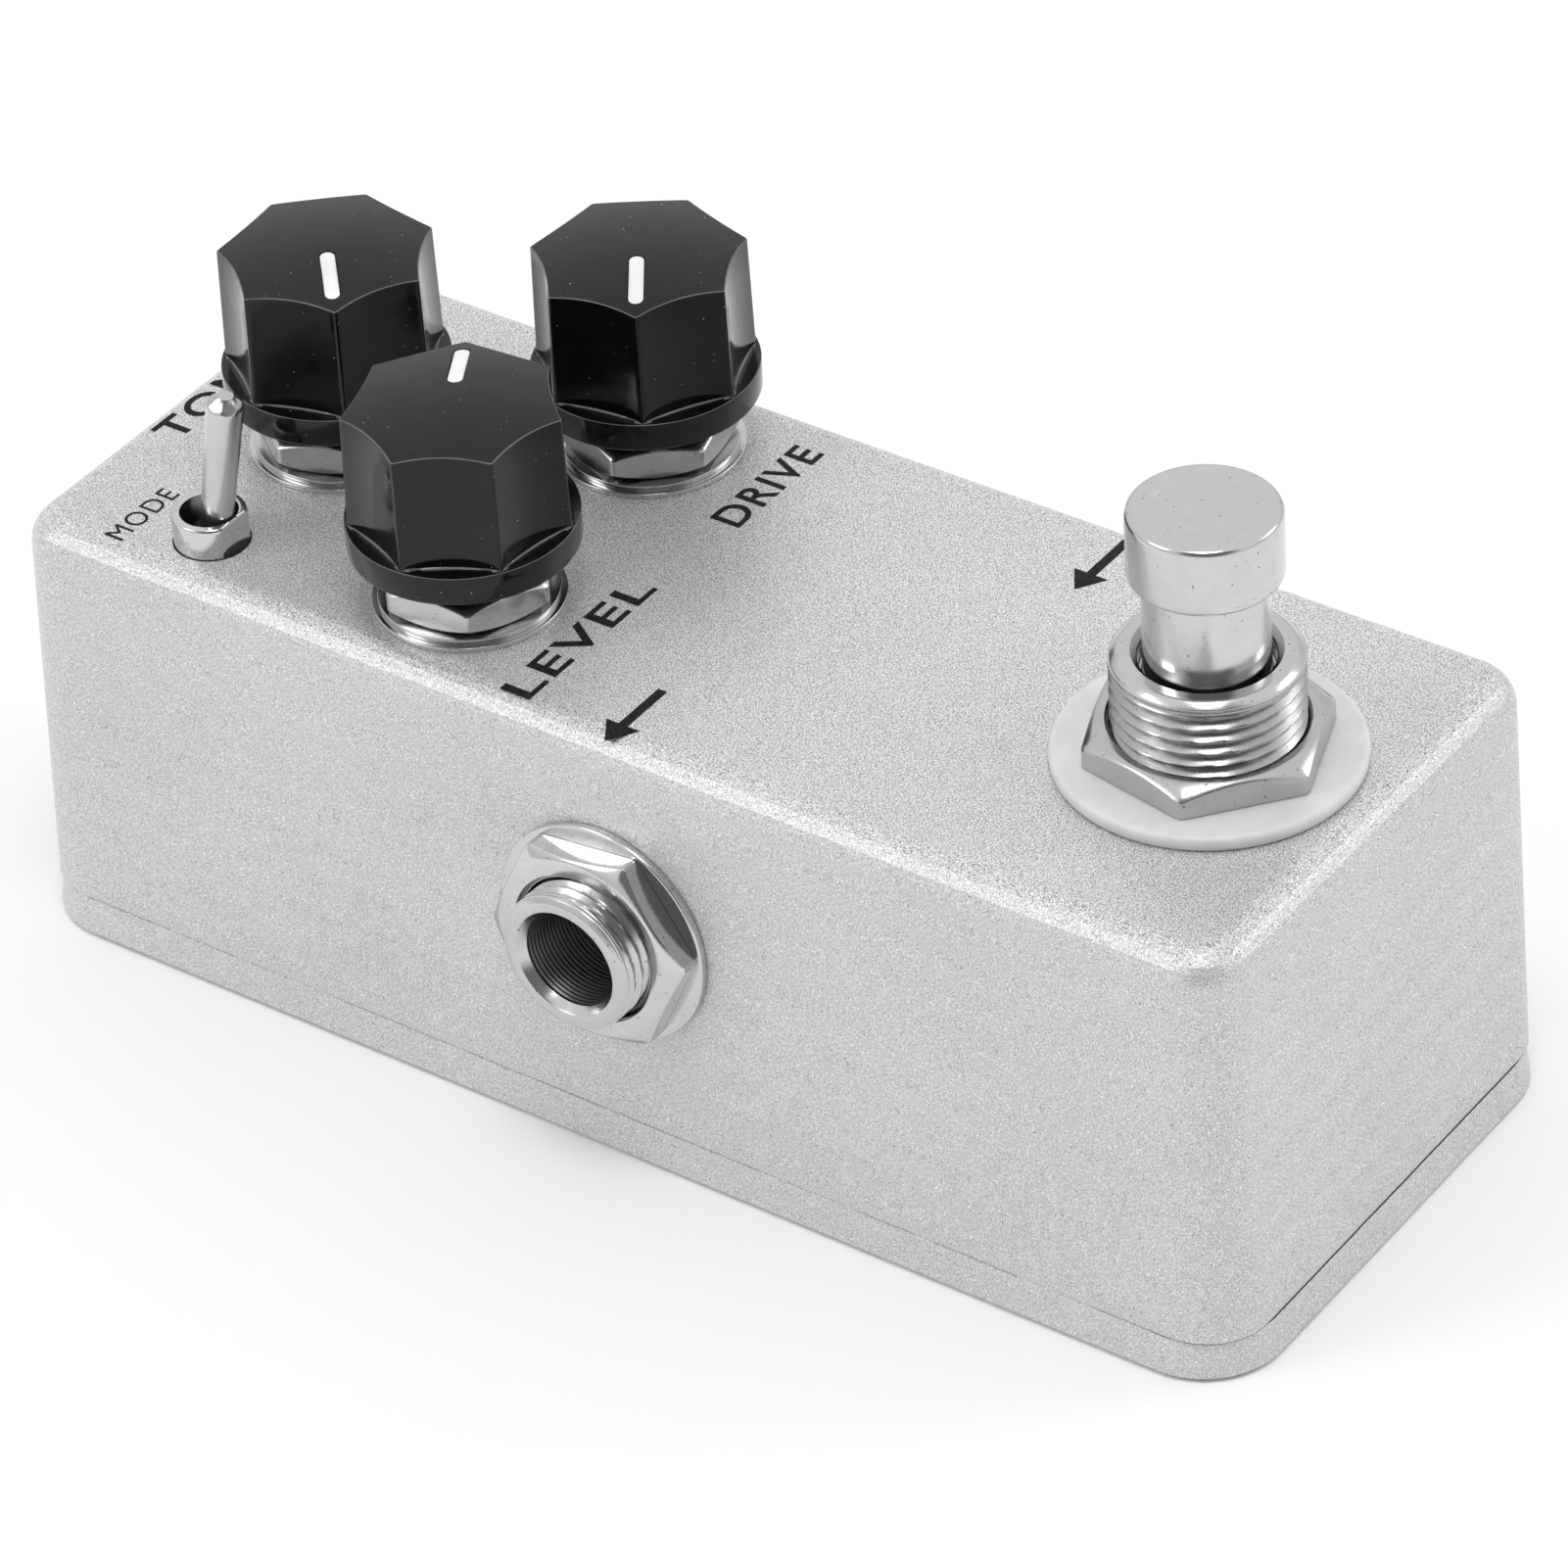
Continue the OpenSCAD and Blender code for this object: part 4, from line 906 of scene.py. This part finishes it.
def lever_shape(length):
    """Bat lever: a ball at the pivot, a shank that grows to the tip and an end with flats."""
    ball_r, shank_r, disc_r, slope, facets = 1.5, 1.2, 0.52, 1.05, 7
    profile = [(AXIS_R, -2.6), (0.55, -2.55), (0.7, -2.4), (0.7, -1.4)]
    profile += arc((0, 0), ball_r, -62, 46, 12)
    rows = plain_rows(profile + [(1.0, 1.35), (1.02, 2.2)])

    def flat_z(radius, angle):
        local = (angle * facets / (2 * math.pi)) % 1.0 - 0.5
        reach = radius * math.cos(local * 2 * math.pi / facets)
        return length - 0.1 - max(reach - disc_r, 0) * slope

    rows.append((constant(shank_r), constant(length - 1.1)))
    rows.append((constant(shank_r), lambda a: flat_z(shank_r, a) - 0.06))
    for share in (0.96, 0.7, 0.45, 0.2):
        r = disc_r + (shank_r - disc_r) * share
        rows.append((constant(r), lambda a, r=r: flat_z(r, a)))
    rows += plain_rows([(disc_r + 0.03, length - 0.1), (disc_r - 0.02, length - 0.03),
                        (disc_r - 0.12, length), (disc_r * 0.4, length), (AXIS_R, length)])
    return varied(rows, even_angles(facets * 12), closed=False)


collar_lo, collar_hi = node_box("toggle_bushing")
collar_x = (collar_lo.x + collar_hi.x) / 2
collar = finished(toggle_collar(), "toggle_collar", upright(collar_x, pivot.y, PANEL_Z))
dress(collar, NICKEL, CASE, "nickel", "toggle_bushing")
lever_place = Matrix.Translation(pivot) @ Matrix.Rotation(lean, 4, "X")
lever = finished(lever_shape(LEVER_L), "toggle_bat", lever_place)
dress(lever, BAT, "toggle", "nickel", "toggle_lever")

# ---------------------------------------------------------------- footswitch
FOOT_BORE_R, FOOT_MOUTH_R, FOOT_CHAMBER_R = 3.93, 4.25, 4.6
FOOT_CHAMFER, FOOT_MOUTH_H, FOOT_CHAMBER_Z = 0.4, 1.5, -0.6
FOOT_PITCH, FOOT_DEPTH, FOOT_THREAD_LOW, FOOT_LIP = 0.87, 0.45, 2.3, 0.46
FOOT_NUT_AF = 13.8
foot_lo, foot_hi = node_box("footswitch_bushing")
foot = (foot_lo + foot_hi) / 2
foot_r = (foot_hi.x - foot_lo.x) / 2
foot_low, foot_top = foot_lo.z - PANEL_Z, foot_hi.z - PANEL_Z
foot_place = upright(foot.x, foot.y, PANEL_Z)


def foot_bushing_shape():
    """Threaded bushing with a chamfered mouth, a bore and a wider chamber below the panel."""
    mouth_z = foot_top - FOOT_MOUTH_H
    inner = eased([
        (FOOT_MOUTH_R + 0.3, foot_top, 0.1), (FOOT_MOUTH_R - 0.1, foot_top - FOOT_CHAMFER, 0.1),
        (FOOT_MOUTH_R - 0.14, mouth_z, 0.1), (FOOT_BORE_R, mouth_z), (FOOT_BORE_R, FOOT_CHAMBER_Z),
        (FOOT_CHAMBER_R, FOOT_CHAMBER_Z), (FOOT_CHAMBER_R, foot_low)], closed=False)
    rim = eased([
        (foot_r - 0.1, foot_top - 0.43), (foot_r - 0.12, foot_top - 0.36, 0.06),
        (foot_r - 0.55, foot_top, 0.18), (FOOT_MOUTH_R + 0.32, foot_top, 0.05)], closed=False)
    rows = plain_rows([(foot_r - 0.1, foot_low), (foot_r, foot_low + 0.2),
                       (foot_r, FOOT_THREAD_LOW - 0.1)])
    rows += thread_rows(foot_r, FOOT_PITCH, FOOT_DEPTH, FOOT_THREAD_LOW, foot_top - FOOT_LIP)
    rows += plain_rows(rim + inner[1:])
    return varied(rows, even_angles(160))


def foot_button_shape():
    """Cap with rounded rims on a slimmer neck, above the hidden flange."""
    lo, hi = node_box("footswitch_button")
    top, low = hi.z - PANEL_Z, lo.z - PANEL_Z
    cap_r, neck_r, flange_r = (hi.x - lo.x) / 2, 3.85, 4.45
    cap_z, neck_z = top - 4.6, low + 0.8
    profile = eased([
        (AXIS_R, low), (flange_r, low, 0.1), (flange_r, neck_z, 0.1), (neck_r, neck_z),
        (neck_r, cap_z - 0.25, 0.05), (neck_r + 0.12, cap_z, 0.05), (cap_r, cap_z, 0.4),
        (cap_r, top, 0.5), (AXIS_R, top)], closed=False, steps=8)
    profile.insert(-1, (cap_r * 0.45, top))
    return turned(profile, 128, closed=False)


def make_foot_nut(washer_t):
    """The hexagon nut that stands on the nylon ring."""
    lo, hi = node_box("footswitch_nut")
    place = upright(foot.x, foot.y, PANEL_Z + washer_t)
    turn = hexagon_turn("footswitch_nut", place, FOOT_NUT_AF)
    shape = nut_shape(FOOT_NUT_AF, hi.z - lo.z, foot_r + NUT_GAP, turn)
    dress(finished(shape, "footswitch_hex_nut", place), NUT_NICKEL_SHADED, CASE, "nickel", "footswitch_nut")


def make_footswitch():
    """Bushing, button, nylon ring and nut."""
    bushing = finished(foot_bushing_shape(), "footswitch_thread", foot_place, THREAD_EDGE_ANGLE)
    dress(bushing, TURNED, CASE, "nickel", "footswitch_bushing")
    # the thread's faces take the darker nickel, as painted shade
    mark_thread(bushing, foot_place, foot_r, FOOT_DEPTH, FOOT_THREAD_LOW, foot_top - FOOT_LIP,
                THREAD_NICKEL_SHADED)
    button = finished(foot_button_shape(), "footswitch_cap", foot_place, CAP_EDGE_ANGLE)
    dress(button, SATIN, "foot_button", "nickel", "footswitch_button")
    lo, hi = node_box("footswitch_washer")
    ring = washer_shape((hi.x - lo.x) / 2, foot_r + 2 * NUT_GAP, 0, hi.z - PANEL_Z, 0.42)
    dress(finished(ring, "footswitch_nylon_ring", foot_place), NYLON, CASE,
          "nylon", "footswitch_washer")
    make_foot_nut(hi.z - PANEL_Z)


make_footswitch()

# ---------------------------------------------------------------- jack sockets
JACK_MOUTH = 4.4        # heights along the barrel, from the wall's outer face
JACK_BACK = -4.2
JACK_THREAD_R, JACK_FLANGE_R = 4.7, 5.8
JACK_WASHER_R, JACK_WASHER_T = 7.6, 0.6
JACK_NUT_AF, JACK_NUT_T = 12.7, 1.9
JACK_EDGE = 0.3         # height of the chamfered lip beyond the plug's bore
JACK_PITCH, JACK_DEPTH, JACK_THREAD_LOW, JACK_LIP = 0.79, 0.40, 0.5, 0.28
JACK_MARKS, JACK_MARK_DEPTH = 48, 0.06  # turning marks down the bore
plug_r = mounts["output_socket"]["dims"]["r_mm"]


def jack_barrel_shape():
    """Threaded barrel: lead-in chamfers at the mouth and fine turning marks down the bore."""
    flange_z = JACK_BACK + 1.0
    rows = plain_rows([(JACK_FLANGE_R, JACK_BACK), (JACK_FLANGE_R, flange_z),
                       (JACK_THREAD_R, flange_z)])
    rows += thread_rows(JACK_THREAD_R, JACK_PITCH, JACK_DEPTH, JACK_THREAD_LOW,
                        JACK_MOUTH - JACK_LIP)
    rows += plain_rows(eased([(JACK_THREAD_R - 0.1, JACK_MOUTH - 0.26),
                              (JACK_THREAD_R - 0.12, JACK_MOUTH - 0.21, 0.05),
                              (JACK_THREAD_R - 0.5, JACK_MOUTH, 0.12),
                              (plug_r + JACK_EDGE + 0.1, JACK_MOUTH, 0.08),
                              (plug_r, JACK_MOUTH - 0.62)], closed=False))
    first, last = JACK_MOUTH - 0.7, JACK_BACK + 0.1
    for i in range(JACK_MARKS):
        z = first + (last - first) * i / (JACK_MARKS - 1)
        rows.append((constant(plug_r + JACK_MARK_DEPTH * (i % 2)), constant(z)))
    return varied(rows, even_angles(128))


def mark_bore(piece, place):
    """Gives the faces inside the plug's bore their duller, turned look, darkened as painted shade."""
    bore_shade_index = look_index(piece, SHADED_NICKEL)
    for face, r, _ in faces_about(piece, place):
        if r < plug_r + JACK_MARK_DEPTH:
            face.material_index = bore_shade_index


jack_nuts, jack_washers = [], []
for mount_name, side in (("output_socket", "out"), ("input_socket", "in")):
    place = wall_place(mount_name, JACK_MOUTH - JACK_EDGE)
    barrel = finished(jack_barrel_shape(), side + "_jack_thread", place, THREAD_EDGE_ANGLE)
    dress(barrel, TURNED, CASE, "nickel", side + "_jack_barrel")
    mark_bore(barrel, place)
    mark_thread(barrel, place, JACK_THREAD_R, JACK_DEPTH, JACK_THREAD_LOW, JACK_MOUTH - JACK_LIP,
                TURNED)
    on_washer = place @ Matrix.Translation((0, 0, JACK_WASHER_T))
    turn = hexagon_turn("jack_nuts", on_washer, JACK_NUT_AF)
    bore = JACK_THREAD_R + NUT_GAP
    jack_nuts.append((nut_shape(JACK_NUT_AF, JACK_NUT_T, bore, turn), on_washer))
    jack_washers.append((washer_shape(JACK_WASHER_R, bore, 0, JACK_WASHER_T, 0.18), place))
dress(finished(joined(*jack_nuts), "jack_hex_nuts"), NICKEL, CASE, "nickel", "jack_nuts")
dress(finished(joined(*jack_washers), "jack_flat_washers"), NICKEL, CASE, "nickel", "jack_washers")

# ---------------------------------------------------------------- power socket
POWER_THREAD_R, POWER_FLANGE_R, POWER_FLANGE_T = 5.6, 7.0, 1.6
POWER_BORE_R, POWER_BORE_END, POWER_BODY_END = 2.85, -9.5, -13.0
POWER_PIN_BASE_R = 1.3
pin_mount = mounts["power_pin"]["dims"]
pin_r = pin_mount["r_mm"]
power_place = wall_place("power_pin", pin_mount["length_mm"] + POWER_BORE_END)


def power_body_shape():
    """Flanged socket with a stepped mouth and a bore that is closed at its back."""
    profile = eased([
        (POWER_PIN_BASE_R, POWER_BODY_END), (POWER_THREAD_R, POWER_BODY_END, 0.3),
        (POWER_THREAD_R, 0), (POWER_FLANGE_R, 0), (POWER_FLANGE_R, POWER_FLANGE_T, 0.45),
        (4.3, POWER_FLANGE_T, 0.12), (4.1, POWER_FLANGE_T - 0.25, 0.1),
        (3.5, POWER_FLANGE_T - 0.25, 0.15), (POWER_BORE_R, POWER_FLANGE_T - 0.9, 0.1),
        (POWER_BORE_R, POWER_BORE_END), (POWER_PIN_BASE_R, POWER_BORE_END)])
    return turned(profile)


def power_pin_shape():
    """Centre pin with a blunt tip on a wider base that fills the socket's back."""
    top = pin_mount["length_mm"] + POWER_BORE_END
    profile = eased([
        (AXIS_R, POWER_BODY_END), (POWER_PIN_BASE_R, POWER_BODY_END),
        (POWER_PIN_BASE_R, POWER_BORE_END), (pin_r, POWER_BORE_END), (pin_r, top, 0.15),
        (pin_r - 0.4, top + 0.4, 0.12), (AXIS_R, top + 0.4)], closed=False)
    return turned(profile, 48, closed=False)


dress(finished(power_body_shape(), "power_socket_body", power_place), BLACK, CASE,
      "black_plastic", "power_jack_body")
dress(finished(power_pin_shape(), "power_centre_pin", power_place), NICKEL, CASE,
      "nickel", "power_jack_pin")

# ---------------------------------------------------------------- legends
INK_T = 0.012
CAPITAL_SHARE = 0.7     # height of a capital letter as a share of the font's size


def legend(name, words, x, y, height, width, bold=0.016):
    """Plain words printed on the panel, centred on a point and stretched to a width."""
    curve = bpy.data.curves.new(name, "FONT")
    curve.body = words
    curve.align_x = "CENTER"
    curve.align_y = "CENTER"
    curve.size = height / CAPITAL_SHARE * MM
    curve.space_character = 1.12
    curve.offset = bold * curve.size
    curve.extrude = INK_T / 2 * MM
    curve.resolution_u = 6
    text = into_scene(name, curve)
    mesh = evaluated_mesh(text)
    bpy.data.objects.remove(text)
    xs = [v.co.x for v in mesh.vertices]
    mesh.transform(Matrix.Diagonal((width * MM / (max(xs) - min(xs)), 1, 1, 1)))
    mesh.transform(Matrix.Translation(Vector((x, y, PANEL_Z + INK_T / 2)) * MM))
    dress(into_scene(name, mesh), INK, CASE, "black_plastic")


def arrow(name, x, y):
    """Flat arrow printed on the panel, centred on a point and pointing along -X."""
    end, shaft, head, head_w = 3.0, 0.34, 1.9, 1.25
    outline = [(end, -shaft), (head - end, -shaft), (head - end, -head_w), (-end, 0),
               (head - end, head_w), (head - end, shaft), (end, shaft)]
    shape = loft([[(px, py, z) for px, py in outline] for z in (0, INK_T)], closed=False)
    dress(finished(shape, name, upright(x, y, PANEL_Z)), INK, CASE, "black_plastic")


legend("legend_mode", "MODE", -13.2, 37.8, 1.5, width=5.9, bold=0.0)
legend("legend_tone", "TONE", 0.0, 42.1, 2.2, width=11.0)
legend("legend_level", "LEVEL", -9.9, 6.2, 2.2, width=13.4)
legend("legend_drive", "DRIVE", 9.5, 5.7, 2.2, width=9.4)
arrow("legend_arrow_out", -14.5, -1.2)
arrow("legend_arrow_in", 13.1, -16.8)

# ---------------------------------------------------------------- floor, light and camera
FLOOR_HALF = 3.0                    # metres
DARK_SIDE = (-0.66, -0.50, 0.56)    # middle of the dark part of the surroundings
LIGHT_AIM = Vector((0, 0, 0.02))


def make_floor():
    h = FLOOR_HALF
    mesh = bpy.data.meshes.new("floor")
    mesh.from_pydata([(-h, -h, 0), (h, -h, 0), (h, h, 0), (-h, h, 0)], [], [(0, 1, 2, 3)])
    floor = into_scene("floor", mesh)
    look = Look("pale_floor").set(Roughness=0.75, Specular_IOR_Level=0.2)
    look.colour(look.ramp(look.noise(0.004, 2.0), (0.3, 0.90), (0.7, 0.94)))
    mesh.materials.append(look.material)
    floor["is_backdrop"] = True


def softbox(name, place, size, energy):
    """Square light that looks at the pedal. Its place and size are in metres."""
    data = bpy.data.lights.new(name, "AREA")
    data.shape = "SQUARE"
    data.size = size
    data.energy = energy
    lamp = into_scene(name, data)
    lamp.location = place
    lamp.rotation_euler = (LIGHT_AIM - Vector(place)).to_track_quat("-Z", "Y").to_euler()


def make_world():
    """White surroundings, dimmer at the horizon and dark around the camera."""
    world = bpy.data.worlds.new("studio")
    world.use_nodes = True
    sky = Tree(world.node_tree)
    direction = sky.add("ShaderNodeTexCoord").outputs["Generated"]
    height = sky.ramp(sky.split(direction)["Z"], (0.0, 0.75), (0.5, 1.0))
    towards = sky.add("ShaderNodeVectorMath")
    towards.operation = "DOT_PRODUCT"
    towards.inputs[1].default_value = DARK_SIDE
    sky.link(direction, towards.inputs[0])
    shade = sky.ramp(towards.outputs["Value"], (0.76, 1.0), (0.86, 0.22))
    background = sky.tree.nodes["Background"]
    sky.link(sky.mix(1.0, height, shade, "MULTIPLY"), background.inputs["Color"])
    background.inputs["Strength"].default_value = 0.95
    bpy.context.scene.world = world


CAMERA_AZIMUTH, CAMERA_ELEVATION, CAMERA_ROLL = -52.968, 36.761, -3.545     # degrees
CAMERA_DISTANCE = 484.6
CAMERA_TARGET = Vector((-1.05, -2.04, 17.33))
CAMERA_LENS, CAMERA_SENSOR = 178.5, 36


def make_camera():
    """Camera that looks at its target from an azimuth and elevation, rolled a little."""
    a, e = math.radians(CAMERA_AZIMUTH), math.radians(CAMERA_ELEVATION)
    roll = math.radians(CAMERA_ROLL)
    back = Vector((math.sin(a) * math.cos(e), -math.cos(a) * math.cos(e), math.sin(e)))
    right = (-back).cross(Vector((0, 0, 1))).normalized()
    up = right.cross(-back)
    turned_right = right * math.cos(roll) + up * math.sin(roll)
    turned_up = up * math.cos(roll) - right * math.sin(roll)
    data = bpy.data.cameras.new("camera")
    data.lens = CAMERA_LENS
    data.sensor_width = CAMERA_SENSOR
    data.clip_start, data.clip_end = 0.02, 20
    camera = into_scene("camera", data)
    turn = Matrix((turned_right, turned_up, back)).transposed().to_4x4()
    camera.matrix_world = Matrix.Translation((CAMERA_TARGET + back * CAMERA_DISTANCE) * MM) @ turn
    bpy.context.scene.camera = camera


make_floor()
make_world()
make_camera()
softbox("front_light", (-0.20, -0.16, 0.93), 0.30, 2.4)
softbox("left_light", (-0.54, 0.43, 0.58), 0.32, 1.35)
softbox("right_light", (0.60, -0.55, 0.45), 0.32, 1.0)
bpy.context.scene.view_settings.view_transform = "Standard"

lo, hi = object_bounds()
